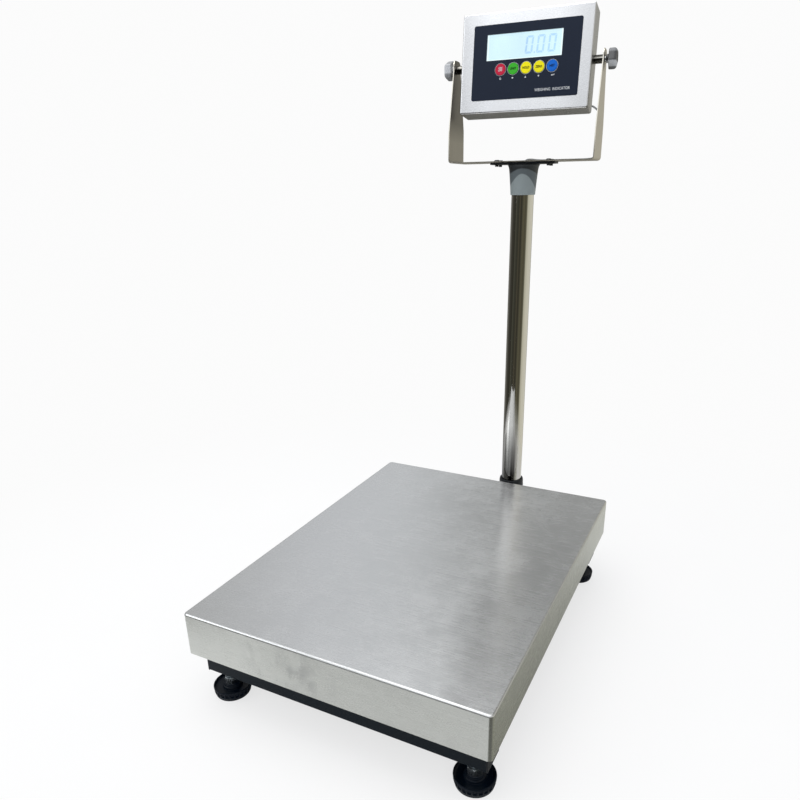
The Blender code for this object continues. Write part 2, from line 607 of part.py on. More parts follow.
def cover_block(margin, start, radius, start_corner, face_corner):
    """A block from y = start whose rear face is rounded off, its corners growing rearwards."""
    levels = [(start, 0.0, start_corner)]  # y, inset, corner radius
    steps = 4
    for i in range(steps + 1):
        a = math.pi / 2 * i / steps
        levels.append((CASE_Y - margin - radius + radius * math.sin(a),
                       radius * (1 - math.cos(a)),
                       start_corner + (face_corner - start_corner) * i / steps))
    rings = []
    for y, drop, corner in levels:
        outline = rounded(span(0, CASE_X - margin - drop), span(0, CASE_Z - margin - drop),
                          corner, 3)
        rings.append([(x, y, z) for x, z in outline])
    return loft(rings)


def build_case():
    pivot_bore = cylinder((-CASE_X - OVERRUN, 0, 0), RIGHT, 4.7, 2 * (CASE_X + OVERRUN), 20)
    make("front_housing", BRUSHED_STEEL, housing_block(0, SPLIT_Y, 3.0, 2.2, 3),
         cut=[housing_block(CASE_WALL, SPLIT_Y + 10, 1.8, 1.0, 2)] + face_openings()
         + [pivot_bore], place=PLACE_CASE)
    gland_bore = cylinder((GLAND_X, 0, GLAND_Z), BACK, 6.4, 40, 24)
    make("rear_cover", BRUSHED_STEEL, cover_block(0, SPLIT_Y + 0.35, 7.0, 3.0, 5.0),
         cut=[cover_block(CASE_WALL, SPLIT_Y - 10, 5.5, 1.8, 3.6), gland_bore],
         place=PLACE_CASE)


def build_gasket():
    xs, zs = [span(0, half - CASE_WALL - GAP) for half in (CASE_X, CASE_Z)]
    width = 2.6
    make("cover_gasket", RUBBER, box(xs, (SPLIT_Y - 1.4, SPLIT_Y + 1.6), zs, 1.6, 2, along(1)),
         cut=[box(inset(xs, width), (SPLIT_Y - 5, SPLIT_Y + 8), inset(zs, width))],
         place=PLACE_CASE)


def build_display():
    overlay = prism(rounded((-84.8, 87.0), (-54.5, 55.0), 2.6, 4), 1, (FACE - 0.9, FACE - GAP))
    make("keypad_overlay", OVERLAY_FILM, overlay, cut=face_openings(), place=PLACE_CASE)
    pane = box(inset(WINDOW_X, GAP), (FACE - 0.7, FACE + 1.2), inset(WINDOW_Z, GAP), 0.4)
    make("lcd_window", CLEAR_PLASTIC, pane, place=PLACE_CASE)
    panel = box((-64.5, 60.2), (FACE + 2.2, FACE + 5.2), (1.6, 42.5), 0.4)
    make("lcd_panel", LIT_LCD, panel, place=PLACE_CASE)


def build_electronics():
    make("main_board", GREEN_BOARD, box((-92, 92), (-8.0, -6.4), (-62, 62)),
         [box(*spans) for spans in BOARD_PARTS], place=PLACE_CASE)
    make("battery_pack", BATTERY_WRAP, box((-60, 30), (5.5, 18.6), (0, 48), 1.5),
         place=PLACE_CASE)


def build_gland():
    def at(depth):
        return (GLAND_X, CASE_Y + depth, GLAND_Z)
    make("cable_gland", BLACK_PLASTIC, cylinder(at(GAP), BACK, 9.5, 5.5, 6),
         [cylinder(at(-6), BACK, 6.0, 12, 24),
          cylinder(at(5), BACK, 7.4, 7, 24, end_radius=5.4)],
         [cylinder(at(-10), BACK, 3.0, 40, 16)], origin=at(0), place=PLACE_CASE)


def build_keys():
    for (name, color), x in zip(KEYS, KEY_X):
        stem = cylinder((x, FACE + 0.8, KEY_Z), BACK, 4.0, 3.0, 20)
        make(f"key_{name}", dict(color=color, roughness=0.4, metallic=0.0),
             lathe(KEY_PROFILE, 32, (x, FACE + 1.0, KEY_Z), FORWARD), [stem],
             origin=(x, FACE, KEY_Z), place=PLACE_CASE)


# ---- pivots: bush, stud and five-cornered knob on each side ------------------------------
PIVOT = (POLE_X, POLE_Y, PIVOT_Z)
BUSH_LENGTH = ARM_X - CASE_X - 2 * GAP
STUD_RADIUS, STUD_LENGTH, STUD_INSIDE = 3.6, 42.0, 12.0
KNOB_START = ARM_X + BRACKET_SHEET + 1.0
KNOB_BORE, NECK_RADIUS, NECK_LENGTH = 3.9, 6.2, 5.2
KNOB_CORNERS, KNOB_STEPS = 5, 8  # steps from one corner to the next
KNOB_CORNER_RADIUS, KNOB_LIMIT = 16.2, 15.8  # sharp corner, and the circle that trims it
# (height, change of radius)
KNOB_LEVELS = ((0, -1.0), (0.8, 0.0), (9.0, 0.0), (11.2, -1.3), (12.5, -4.2))


def pivot_point(side, distance):
    return (POLE_X + side * distance, POLE_Y, PIVOT_Z)


def tube_profile(bore, radius, length):
    return [(bore, 0), (radius, 0), (radius, length), (bore, length)]


def knob_radii():
    """Radii around the grip: a pentagon trimmed by a circle."""
    half_side = math.pi / KNOB_CORNERS
    radii = []
    for i in range(KNOB_CORNERS * KNOB_STEPS):
        u = (i / KNOB_STEPS + 0.5) % 1 - 0.5  # 0 at a corner, 0.5 in the middle of a side
        flat = (KNOB_CORNER_RADIUS * math.cos(half_side)
                / math.cos(half_side - abs(u) * math.tau / KNOB_CORNERS))
        radii.append(min(KNOB_LIMIT, flat))
    return radii


def knob_grip(side):
    place = (Matrix.Translation(Vector(pivot_point(side, KNOB_START + 4.4)))
             @ aim((side, 0, 0)) @ Matrix.Rotation(math.radians(20), 4, "Z"))
    radii = knob_radii()
    rings = []
    for height, change in KNOB_LEVELS:
        ring = []
        for i, radius in enumerate(radii):
            a = math.tau * i / len(radii)
            r = radius + change
            ring.append(place @ Vector((r * math.cos(a), r * math.sin(a), height)))
        rings.append(ring)
    return loft(rings)


def build_pivots():
    for name, side in SIDES:
        outward = (side, 0, 0)
        bush = lathe(tube_profile(4.2, 6.2, BUSH_LENGTH), 24,
                     pivot_point(side, CASE_X + GAP), outward)
        make(f"spacer_bush_{name}", ZINC, bush, origin=PIVOT, place=PLACE_HEAD)
        stud = lathe(tube_profile(0, STUD_RADIUS, STUD_LENGTH), 20,
                     pivot_point(side, CASE_X - STUD_INSIDE), outward)
        make(f"knob_stud_{name}", ZINC, stud, origin=PIVOT, place=PLACE_HEAD)
        neck = lathe(tube_profile(KNOB_BORE, NECK_RADIUS, NECK_LENGTH), 24,
                     pivot_point(side, KNOB_START), outward)
        bore = cylinder(pivot_point(side, KNOB_START - 2), outward, KNOB_BORE, 15.0, 20)
        make(f"tilt_knob_{name}", GREY_PLASTIC, knob_grip(side), [neck], [bore],
             origin=PIVOT, place=PLACE_HEAD, smooth=35)


build_base_frame()
build_tube_caps()
build_feet()
build_load_cell()
build_cell_spacers()
build_cell_bolts()
build_top_frame()
build_cushions()
build_platter()
build_socket()
build_collar()
build_column_tube()
build_column_head()
build_flange()
build_bracket()
build_bracket_screws()
build_case()
build_gasket()
build_display()
build_electronics()
build_gland()
build_keys()
build_pivots()
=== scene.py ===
"""Looks for the animal weighing scale: a steel platter on four feet, with a column behind it that
carries a tilting display unit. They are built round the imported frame, in metres: +X to the
operator's right, +Y towards the column, +Z up, floor at z = 0. Pieces are drawn in millimetres."""
import json
import math

import bmesh
import bpy
from mathutils import Matrix, Vector


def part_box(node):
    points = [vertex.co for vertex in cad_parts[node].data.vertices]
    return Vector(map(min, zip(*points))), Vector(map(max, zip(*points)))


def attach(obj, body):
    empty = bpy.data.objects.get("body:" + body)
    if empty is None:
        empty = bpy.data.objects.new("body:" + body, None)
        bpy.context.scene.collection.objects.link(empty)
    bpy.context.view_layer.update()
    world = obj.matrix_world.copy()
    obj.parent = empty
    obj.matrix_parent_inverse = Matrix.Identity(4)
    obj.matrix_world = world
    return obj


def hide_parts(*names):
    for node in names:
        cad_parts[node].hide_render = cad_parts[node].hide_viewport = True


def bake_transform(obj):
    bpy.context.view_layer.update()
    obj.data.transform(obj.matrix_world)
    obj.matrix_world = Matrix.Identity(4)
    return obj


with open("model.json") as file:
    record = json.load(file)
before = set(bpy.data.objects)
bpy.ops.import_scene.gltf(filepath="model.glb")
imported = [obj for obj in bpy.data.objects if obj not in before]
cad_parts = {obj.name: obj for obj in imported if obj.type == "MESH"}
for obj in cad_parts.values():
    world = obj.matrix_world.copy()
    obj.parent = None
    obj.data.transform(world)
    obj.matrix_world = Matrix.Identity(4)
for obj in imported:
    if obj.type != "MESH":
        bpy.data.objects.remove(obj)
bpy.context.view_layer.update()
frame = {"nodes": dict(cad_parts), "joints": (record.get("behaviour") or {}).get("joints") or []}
NODES = frame["nodes"]
JOINTS = {joint["name"]: joint for joint in frame["joints"]}
SCENE = bpy.context.scene

MM = 0.001
TO_METRES = Matrix.Scale(MM, 4)
UPRIGHT = Matrix.Rotation(math.pi / 2, 4, "X")  # stands a drawing up to face -Y

# =============================== places taken from the frame ==================================
PIVOT = Vector(JOINTS["indicator_tilt"]["pos_m"])
AXLE = Vector(JOINTS["indicator_tilt"]["axis"])
PRESS = Vector(JOINTS["key_red_press"]["axis"])
POLE = Vector(JOINTS["head_swivel"]["pos_m"])
FEET = {
    corner: Vector(JOINTS[f"foot_{corner}_turn"]["pos_m"])
    for corner in ("front_left", "front_right", "rear_left", "rear_right")
}
SWIVEL = math.atan2(AXLE.y, AXLE.x)  # the head stands a little round on the column
TILT = math.atan2(PRESS.z, math.hypot(PRESS.x, PRESS.y))
TURNED = Matrix.Rotation(SWIVEL, 4, "Z")
CASE = Matrix.Translation(PIVOT) @ TURNED @ Matrix.Rotation(TILT, 4, "X")  # the display unit
AT_POLE = Matrix.Translation((POLE.x, POLE.y, 0))
HEAD = AT_POLE @ TURNED

# =============================== camera and backdrop ==========================================
CAMERA_AT = Vector((0.4109, -0.889754, 0.6863))
CAMERA_FORWARD = Vector((-0.41978, 0.83385, -0.35839))
CAMERA_YAW = math.radians(26.7226)
CAMERA_ROLL = math.radians(-0.9014)
SENSOR_WIDTH = 36.0  # mm
FOCAL_LENGTH = 30.24  # mm
CAMERA_SHIFT = (-0.0180625, 0.057125)  # shares of the sensor width
BLACK = (0.0, 0.0, 0.0)


def grey(value):
    return (value, value, value)


BACKDROP = grey(0.97)


# =============================== node graphs ==================================================
class Signal:
    """A node's output that can be used in sums: each operator adds one Math node."""

    def __init__(self, graph, socket):
        self.graph = graph
        self.socket = socket

    def __add__(self, other):
        return self.graph.math("ADD", self, other)

    def __sub__(self, other):
        return self.graph.math("SUBTRACT", self, other)

    def __rsub__(self, other):
        return self.graph.math("SUBTRACT", other, self)

    def __mul__(self, other):
        return self.graph.math("MULTIPLY", self, other)

    def __truediv__(self, other):
        return self.graph.math("DIVIDE", self, other)

    def __gt__(self, other):
        return self.graph.math("GREATER_THAN", self, other)

    def __lt__(self, other):
        return self.graph.math("LESS_THAN", self, other)

    def __abs__(self):
        return self.graph.math("ABSOLUTE", self)

    def max(self, other):
        return self.graph.math("MAXIMUM", self, other)

    def remap(self, over=(0.3, 0.7), to=(0, 1)):
        """Clamped linear map; a noise mostly stays within the default range."""
        inputs = {
            "Value": self,
            "From Min": over[0], "From Max": over[1],
            "To Min": to[0], "To Max": to[1],
        }
        return self.graph.node("MapRange", inputs, out="Result")


class Graph:
    """A small builder over a shader node tree."""

    def __init__(self, tree):
        self.tree = tree

    def feed(self, socket, value):
        """Links a Signal to the socket, or sets a plain value; None leaves it alone."""
        if isinstance(value, Signal):
            self.tree.links.new(value.socket, socket)
        elif value is not None:
            socket.default_value = (*value, 1) if socket.type == "RGBA" else value

    def node(self, kind, inputs=None, out=0, **settings):
        """Adds a node; gives its output as a Signal, or several where out is a tuple."""
        node = self.tree.nodes.new("ShaderNode" + kind)
        for key, value in settings.items():
            setattr(node, key, value)
        for key, value in (inputs or {}).items():
            self.feed(node.inputs[key], value)
        if isinstance(out, tuple):
            return tuple(Signal(self, node.outputs[key]) for key in out)
        return Signal(self, node.outputs[out])

    def math(self, operation, *values):
        return self.node("Math", dict(enumerate(values)), operation=operation)

    def mix(self, factor, first, second, blend="MIX"):
        inputs = {0: factor, 6: first, 7: second}
        return self.node("Mix", inputs, out=2, data_type="RGBA", blend_type=blend)

    def mix_shader(self, factor, first, second):
        return self.node("MixShader", {0: factor, 1: first, 2: second})

    def xyz(self, vector):
        return self.node("SeparateXYZ", {0: vector}, out=("X", "Y", "Z"))

    def ramp(self, value, stops):
        """A colour ramp with stops of (position, colour)."""
        ramp = self.node("ValToRGB", {0: value})
        elements = ramp.socket.node.color_ramp.elements
        while len(elements) > 1:
            elements.remove(elements[-1])
        elements[0].position = stops[0][0]
        elements[0].color = (*stops[0][1], 1)
        for position, colour in stops[1:]:
            elements.new(position).color = (*colour, 1)
        return ramp


class Material(Graph):
    """A builder over a new material's tree."""

    def __init__(self, name):
        self.material = bpy.data.materials.new(name)
        self.material.use_nodes = True
        super().__init__(self.material.node_tree)

    def principled(self, **inputs):
        """Feeds the Principled shader and gives the material."""
        sockets = self.tree.nodes["Principled BSDF"].inputs
        for name, value in inputs.items():
            self.feed(sockets[name.replace("_", " ")], value)
        return self.material

    def surface(self, shader):
        """Puts another shader in the Principled's place and gives the material."""
        self.feed(self.tree.nodes["Material Output"].inputs["Surface"], shader)
        return self.material

    def object_point(self):
        return self.node("TexCoord", out="Object")

    def position(self):
        return self.xyz(self.object_point())

    def noise(self, scale=1.0, detail=3.0, rough=0.5, stretch=(1, 1, 1), distortion=0.0):
        mapped = self.node("Mapping", {"Vector": self.object_point(), "Scale": stretch})
        inputs = {
            "Vector": mapped, "Scale": scale, "Detail": detail,
            "Roughness": rough, "Distortion": distortion,
        }
        return self.node("TexNoise", inputs, out="Fac")

    def mottled(self, pattern, tint, dark, light):
        """The tint between two shares of its brightness, by a noise pattern."""
        return self.mix(pattern.remap(), times(tint, dark), times(tint, light))

    def bump(self, height, distance, strength, below=None):
        inputs = {"Height": height, "Distance": distance, "Strength": strength, "Normal": below}
        return self.node("Bump", inputs, out="Normal")

    def worn_edges(self, radius, over=(0.03, 0.35)):
        """0 on flats to 1 on worn edges."""
        bevelled = self.node("Bevel", {"Radius": radius}, out="Normal", samples=4)
        normal = self.node("NewGeometry", out="Normal")
        agreement = self.node("VectorMath", {0: bevelled, 1: normal}, out="Value",
                              operation="DOT_PRODUCT")
        return (1.0 - agreement).remap(over)


def times(tint, share):
    """The tint made darker or lighter, no channel above 1."""
    return tuple(min(1.0, channel * share) for channel in tint)


# =============================== steel ========================================================
# Level unit vector that points right and a little to the rear
ACROSS_X = 0.893
ACROSS_Y = 0.45


def stretched(axis, along, across):
    """Noise scales for a grain that runs along one axis."""
    return tuple(along if letter == axis else across for letter in "XYZ")


def grain_height(mat, axis, coarse_share):
    fine = mat.noise(detail=4.0, rough=0.7, stretch=stretched(axis, along=6, across=2600))
    coarse = mat.noise(rough=0.6, stretch=stretched(axis, along=2.5, across=420))
    return fine * (1 - coarse_share) + coarse * coarse_share


def brushed(name, tint, rough, grain, aniso, shading, streak=0.45, coarse_share=0.25,
            smudge=None):
    """Straight-grained stainless; an X grain runs along Y on faces that look along X.
    shading(mat, colour, tint, normal) paints light and shade into the colour, smudge(mat)
    gives a mask of dulled steel."""
    mat = Material(name)
    normal = mat.node("VectorTransform", {"Vector": mat.node("NewGeometry", out="Normal")},
                      out="Vector", vector_type="NORMAL",
                      convert_from="WORLD", convert_to="OBJECT")
    normal_parts = mat.xyz(normal)
    side = abs(normal_parts[0]) > 0.72
    flat = 1.0 - side
    main = grain_height(mat, grain, coarse_share)
    other = grain_height(mat, "Y" if grain == "X" else grain, coarse_share)
    height = main * flat + other * side

    cloud = mat.noise(scale=7.0)
    fine_cloud = mat.noise(scale=38.0, detail=4.0, rough=0.6)
    wear = mat.worn_edges(radius=0.0014, over=(0.015, 0.3))
    dark = times(tint, 1 - 0.16 * streak)
    light = times(tint, 1 + 0.10 * streak)
    colour = mat.mix(height.remap(over=(0.35, 0.65)), dark, light)
    clouded = times(tint, 1 - 0.14 * streak)
    colour = mat.mix(cloud.remap(over=(0.35, 0.7), to=(0.0, 0.22)), colour, clouded)
    colour = mat.mix(wear * 0.35, colour, times(tint, 1.15))
    # painted light and shade from the shading callback
    colour = shading(mat, colour, tint, normal_parts)

    roughness = height.remap(to=(rough + 0.05, rough - 0.04))
    roughness = roughness + fine_cloud.remap(to=(-0.015, 0.025))
    roughness = roughness + cloud.remap(over=(0.4, 0.75), to=(0.0, 0.04))
    roughness = roughness - wear * 0.08
    if smudge:
        mask = smudge(mat)
        colour = mat.mix(mask, colour, times(tint, 0.42))
        roughness = roughness + mask * 0.12

    # the highlight spreads across the grain
    direction = {"X": flat, "Y": side} if grain == "X" else {grain: 1.0}
    along = mat.node("CombineXYZ", direction)
    across = mat.node("VectorMath", {0: along, 1: normal}, out="Vector",
                      operation="CROSS_PRODUCT")
    tangent = mat.node("VectorTransform", {"Vector": across}, out="Vector",
                       vector_type="VECTOR", convert_from="OBJECT", convert_to="WORLD")
    wave = mat.bump(mat.noise(scale=5.5, detail=2.0, rough=0.4), distance=0.0006, strength=0.15)
    return mat.principled(
        Base_Color=colour, Roughness=roughness, Metallic=1.0, Anisotropic=aniso,
        Tangent=tangent, Normal=mat.bump(height, distance=0.00003, strength=0.25, below=wave))


def platter_shading(mat, colour, tint, normal):
    """Painted warm reflection on the skirts, a painted dark reflection in the fold below the top,
    and a soft painted dark reflection towards the right.
    """
    normal_x, normal_y, normal_z = normal
    # painted warm reflection on the skirts, strongest on the right skirt
    skirt = normal_z.remap(over=(0.2, 0.7), to=(1.0, 0.0))
    skirt = skirt * normal_x.remap(over=(0.3, 0.9), to=(0.55, 1.0))
    colour = mat.mix(skirt, colour, mat.mix(1.0, colour, (1.0, 0.995, 0.86), blend="MULTIPLY"))

    # painted dark reflection in the fold just below the top, and on the front right corner
    fold = normal_z.remap(over=(0.04, 0.16)) * normal_z.remap(over=(0.34, 0.55), to=(1.0, 0.0))
    corner = normal_x.remap(over=(0.10, 0.40)) * normal_x.remap(over=(0.66, 0.93), to=(1.0, 0.0))
    corner = corner * (normal_y < -0.2)
    upright = normal_z.remap(over=(0.3, 0.6), to=(1.0, 0.0))
    painted_fold_reflection = (fold * 0.62).max((corner * upright) * 0.62)
    colour = mat.mix(painted_fold_reflection, colour, times(tint, 0.36))

    # painted dark reflection on the top's right edge, then a little of the front and right skirts
    x, y, _ = mat.position()
    slant = x - (-0.2 - y).max(0.0) * 0.4
    top = slant.remap(over=(0.100, 0.160), to=(0.0, 0.235))
    top = top * y.remap(over=(-0.12, 0.16), to=(1.0, 0.10))
    top = top + x.remap(over=(-0.14, 0.05), to=(0.0, 0.105))
    top = top * normal_z.remap(over=(0.7, 0.9))
    front = normal_y.remap(over=(-0.9, -0.6), to=(1.0, 0.0))
    front = front * x.remap(over=(-0.12, -0.05), to=(0.0, 0.11))
    right_length = y.remap(over=(0.08, 0.2), to=(0.12, 0.0)) * y.remap(over=(-0.30, -0.20))
    right = normal_x.remap(over=(0.6, 0.9)) * right_length
    return mat.mix(top + (front + right), colour, BLACK)


def platter_smudge(mat):
    """A patchy mark on the front skirt, left of the middle."""
    inputs = {
        "Vector": mat.object_point(),
        "Location": (-0.055, -0.341, 0.112),
        "Scale": (0.085, 0.03, 0.045),
    }
    local = mat.node("Mapping", inputs, vector_type="TEXTURE")
    distance = mat.node("VectorMath", {0: local}, out="Value", operation="LENGTH")
    fade = distance.remap(over=(0.25, 1.0), to=(1.0, 0.0))
    patch = mat.noise(scale=34.0, detail=5.0, rough=0.62, stretch=(1.0, 1.0, 0.7),
                      distortion=0.4)
    return (fade * patch.remap(over=(0.46, 0.66))) * 0.45


def bracket_shading(mat, colour, tint, normal):
    """Painted shade: right-facing faces at negative x are darker, more so with height."""
    x, _, z = mat.position()
    # painted shade on the left arm's inner faces
    where = (normal[0] > 0.5) * (x < 0.0)
    return mat.mix(where * z.remap(over=(0.757, 0.787), to=(0.50, 0.76)), colour,
                   (0.02, 0.019, 0.016))


def housing_shading(mat, colour, tint, normal):
    """Painted shade: dimmer away from the column's x, on the right end and underneath."""
    x, _, _ = mat.position()
    housing_painted_shade = abs(x - POLE.x).remap(over=(0.055, 0.095), to=(0.0, 0.17))
    housing_painted_shade = housing_painted_shade.max(normal[0].remap(over=(0.5, 0.9), to=(0.0, 0.26)))
    housing_painted_shade = housing_painted_shade.max(normal[2].remap(over=(-0.9, -0.6), to=(0.30, 0.0)))
    return mat.mix(housing_painted_shade, colour, BLACK)


def polished(name, tint):
    """Polished tube with faint lengthwise streaks; its foot has a painted dark reflection of the
    black collar.
    """
    mat = Material(name)
    streaks = mat.noise(detail=4.0, rough=0.6, stretch=(700, 700, 3.0))
    cloud = mat.noise(scale=26.0, detail=4.0, rough=0.6, stretch=(1, 1, 0.35))
    colour = mat.mottled(streaks, tint, dark=0.90, light=1.0)

    x, y, z = mat.position()
    from_pole_x = x - POLE.x
    from_pole_y = y - POLE.y
    across = from_pole_x * ACROSS_X + from_pole_y * ACROSS_Y
    forward = from_pole_x * ACROSS_Y - from_pole_y * ACROSS_X
    # painted dark reflection of the collar on the tube's left front side
    dark_side = across.remap(over=(0.0015, 0.0055), to=(1.0, 0.0))
    dark_side = dark_side * forward.remap(over=(-0.004, 0.002))
    # the painted reflection fades slowly up to 0.2053 and then out by 0.2607
    foot = z.remap(over=(0.2053, 0.2607), to=(0.70, 0.0))
    foot = foot + z.remap(over=(0.1589, 0.2053), to=(0.29, 0.0))
    lines = mat.noise(detail=2.0, stretch=(330, 330, 2.0))
    lines = lines.remap(over=(0.40, 0.60), to=(0.82, 1.0))
    colour = mat.mix((dark_side * lines) * foot, colour, (0.002, 0.002, 0.0015))
    roughness = streaks.remap(to=(0.035, 0.075)) + cloud.remap(over=(0.5, 0.8), to=(0.0, 0.05))
    return mat.principled(Base_Color=colour, Roughness=roughness, Metallic=1.0,
                          Normal=mat.bump(streaks, distance=0.00001, strength=0.3))


# =============================== other metals =================================================
def painted_light_bands(mat, colour, left, right):
    """Paints light and shade: multiplies a colour by bands of (mm above the pivot, share), for
    each side of the pivot.
    """
    x, _, z = mat.position()
    is_right = x > PIVOT.x
    # both ramps run from 20 mm below the pivot to 20 mm above it
    shades = [
        mat.ramp(((z - PIVOT.z) + 0.020) * 25.0,
                 [((height + 20.0) / 40.0, grey(share)) for height, share in bands])
        for bands in (left, right)
    ]
    return mat.mix(1.0, colour, mat.mix(is_right, *shades), blend="MULTIPLY")


def metal(mat, colour, roughness, grain, depth):
    return mat.principled(Base_Color=colour, Roughness=roughness, Metallic=1.0,
                          Normal=mat.bump(grain, distance=depth, strength=0.4))


def zinc(name, tint=(0.66, 0.69, 0.73)):
    """Slightly mottled zinc plate with bright edges."""
    mat = Material(name)
    spangle = mat.noise(scale=420.0, rough=0.6)
    cloud = mat.noise(scale=60.0)
    colour = mat.mottled(spangle, tint, dark=0.82, light=1.0)
    wear = mat.worn_edges(radius=0.0006, over=(0.03, 0.3))
    colour = mat.mix(wear * 0.5, colour, (0.9, 0.92, 0.94))
    return metal(mat, colour, cloud.remap(to=(0.2, 0.34)), spangle, depth=0.00003)


def bush_steel(name, tint):
    """Turned steel with painted shade of the display unit: a painted highlight streak above, near
    black below.
    """
    mat = Material(name)
    spangle = mat.noise(scale=420.0, rough=0.6)
    colour = painted_light_bands(
        mat, mat.mottled(spangle, tint, dark=0.82, light=1.0),
        left=[(-6.0, 0.05), (0.6, 0.02), (1.4, 0.4), (4.0, 0.4), (5.2, 0.12)],
        right=[(-6.0, 0.12), (0.2, 0.03), (0.9, 0.55), (1.9, 0.45), (2.6, 0.05), (6.0, 0.07)])
    roughness = mat.noise(scale=60.0).remap(to=(0.24, 0.34))
    return metal(mat, colour, roughness, spangle, depth=0.00003)


def cast_alloy(name):
    """Alloy with milling lines along X."""
    mat = Material(name)
    mill = mat.noise(rough=0.6, stretch=(1400, 9, 1400))
    cloud = mat.noise(scale=40.0)
    colour = mat.mix(mill.remap(), (0.58, 0.59, 0.60), (0.74, 0.75, 0.76))
    return metal(mat, colour, cloud.remap(to=(0.28, 0.4)), mill, depth=0.00004)


# =============================== paint, plastics and film =====================================
def coat(mat, colour, cloud, fine, rough, specular, depth, strength=0.4):
    """A non-metal finish: cloud sets the roughness range, fine roughens and embosses it."""
    return mat.principled(
        Base_Color=colour, Roughness=cloud.remap(to=rough) + fine.remap(to=(-0.03, 0.03)),
        Specular_IOR_Level=specular,
        Normal=mat.bump(fine, distance=depth, strength=strength))


def paint(name, tint):
    """Powder coat: fine orange peel and patchily rubbed edges."""
    mat = Material(name)
    peel = mat.noise(scale=1500.0, detail=2.0)
    cloud = mat.noise(scale=14.0, detail=4.0, rough=0.6)
    patches = mat.noise(scale=130.0, detail=4.0, rough=0.7).remap(over=(0.42, 0.62))
    wear = mat.worn_edges(radius=0.0012) * patches
    colour = mat.mottled(cloud, tint, dark=0.8, light=1.25)
    colour = mat.mix(wear * 0.5, colour, (0.10, 0.11, 0.12))
    return coat(mat, colour, cloud, peel, rough=(0.37, 0.49), specular=0.12,
                depth=0.00012, strength=0.35)


def plastic(name, tint, rough, grain=900.0, depth=0.00006, specular=0.5, edge=1.15):
    """Grained plastic, rubber or ink; edge is the brightness of its worn edges."""
    mat = Material(name)
    fine = mat.noise(scale=grain, rough=0.6)
    cloud = mat.noise(scale=22.0)
    wear = mat.worn_edges(radius=0.001)
    colour = mat.mottled(cloud, tint, dark=0.9, light=1.08)
    colour = mat.mix(wear * 0.4, colour, tuple(channel * edge + 0.01 for channel in tint))
    return coat(mat, colour, cloud, fine, (rough - 0.04, rough + 0.05), specular, depth)


def flange_shadowed(name, tint, shadow_tint):
    """Moulded plastic with a painted shadow of the flange above two arch-shaped lines, each
    steeper on its left.
    """
    mat = Material(name)
    fine = mat.noise(scale=700.0, rough=0.6)
    cloud = mat.noise(scale=22.0)
    x, y, z = mat.position()
    arch_middle = POLE.x * ACROSS_X + POLE.y * ACROSS_Y - 0.0065
    side = (x * ACROSS_X + y * ACROSS_Y) - arch_middle
    left = side < 0.0
    bow = side * side
    lower_drop = bow * (left * 34.0 + 36.0)
    upper_drop = bow * (left * 13.0 + 12.0)
    above_lower = (z + lower_drop).remap(over=(0.7046, 0.7058))
    above_upper = (z + upper_drop).remap(over=(0.7128, 0.7142), to=(0.0, 0.88))
    colour = mat.mottled(cloud, tint, dark=0.94, light=1.05)
    # painted shadow of the flange above the lower arch, then a darker painted shadow above the
    # upper arch
    colour = mat.mix(above_lower, colour, shadow_tint)
    colour = mat.mix(above_upper, colour, (0.010, 0.012, 0.014))
    return coat(mat, colour, cloud, fine, rough=(0.40, 0.47), specular=0.4, depth=0.00005)


def knob_plastic(name, tint):
    """Smooth grey plastic with painted light and shade on its facets, in bands."""
    mat = Material(name)
    fine = mat.noise(scale=700.0, rough=0.6)
    cloud = mat.noise(scale=22.0)
    colour = painted_light_bands(
        mat, mat.mottled(cloud, tint, dark=0.93, light=1.06),
        left=[(-11.5, 0.34), (-6.0, 0.42), (-3.5, 0.95), (2.5, 1.0), (4.0, 1.0), (7.5, 0.86),
              (9.5, 0.52)],
        right=[(-12.5, 0.15), (-11.0, 0.74), (-5.0, 0.80), (-3.6, 0.10), (7.5, 0.09),
               (9.3, 0.36)])
    return coat(mat, colour, cloud, fine, rough=(0.32, 0.4), specular=0.5, depth=0.00005)


def film(name, tint):
    """The dark printed face film, with a fine matt texture."""
    mat = Material(name)
    fine = mat.noise(scale=2200.0, detail=2.0)
    cloud = mat.noise(scale=30.0)
    return mat.principled(
        Base_Color=mat.mottled(fine, tint, dark=0.75, light=1.3),
        Roughness=cloud.remap(to=(0.36, 0.46)), Specular_IOR_Level=0.14,
        Normal=mat.bump(fine, distance=0.00002, strength=0.4))


# =============================== display ======================================================
def glow(name, tint, strength, mottle=0.04):
    """A backlit surface whose light varies a little across the face."""
    mat = Material(name)
    cloud = mat.noise(scale=28.0, detail=2.0)
    return mat.principled(
        Emission_Color=mat.mottled(cloud, tint, dark=1 - mottle, light=1 + mottle),
        Emission_Strength=strength, Base_Color=(0.02, 0.03, 0.035), Roughness=0.4,
        Normal=mat.bump(cloud, distance=0.00001, strength=0.2))


def clear(name):
    """A thin clear window."""
    mat = Material(name)
    through = mat.node("BsdfTransparent", {"Color": (0.97, 0.99, 1.0)})
    roughness = mat.noise(scale=90.0, rough=0.6).remap(to=(0.05, 0.09))
    glossy = mat.node("BsdfGlossy", {"Roughness": roughness})
    facing = mat.node("Fresnel", {"IOR": 1.35})
    return mat.surface(mat.mix_shader(facing * 0.6, through, glossy))


def ink(name, tint, specular=0.3):
    return plastic(name, tint, rough=0.5, grain=2000.0, depth=0.00001, specular=specular)


def key_film(name, tint):
    return plastic(name, tint, rough=0.42, grain=1500.0, depth=0.00002, specular=0.2)


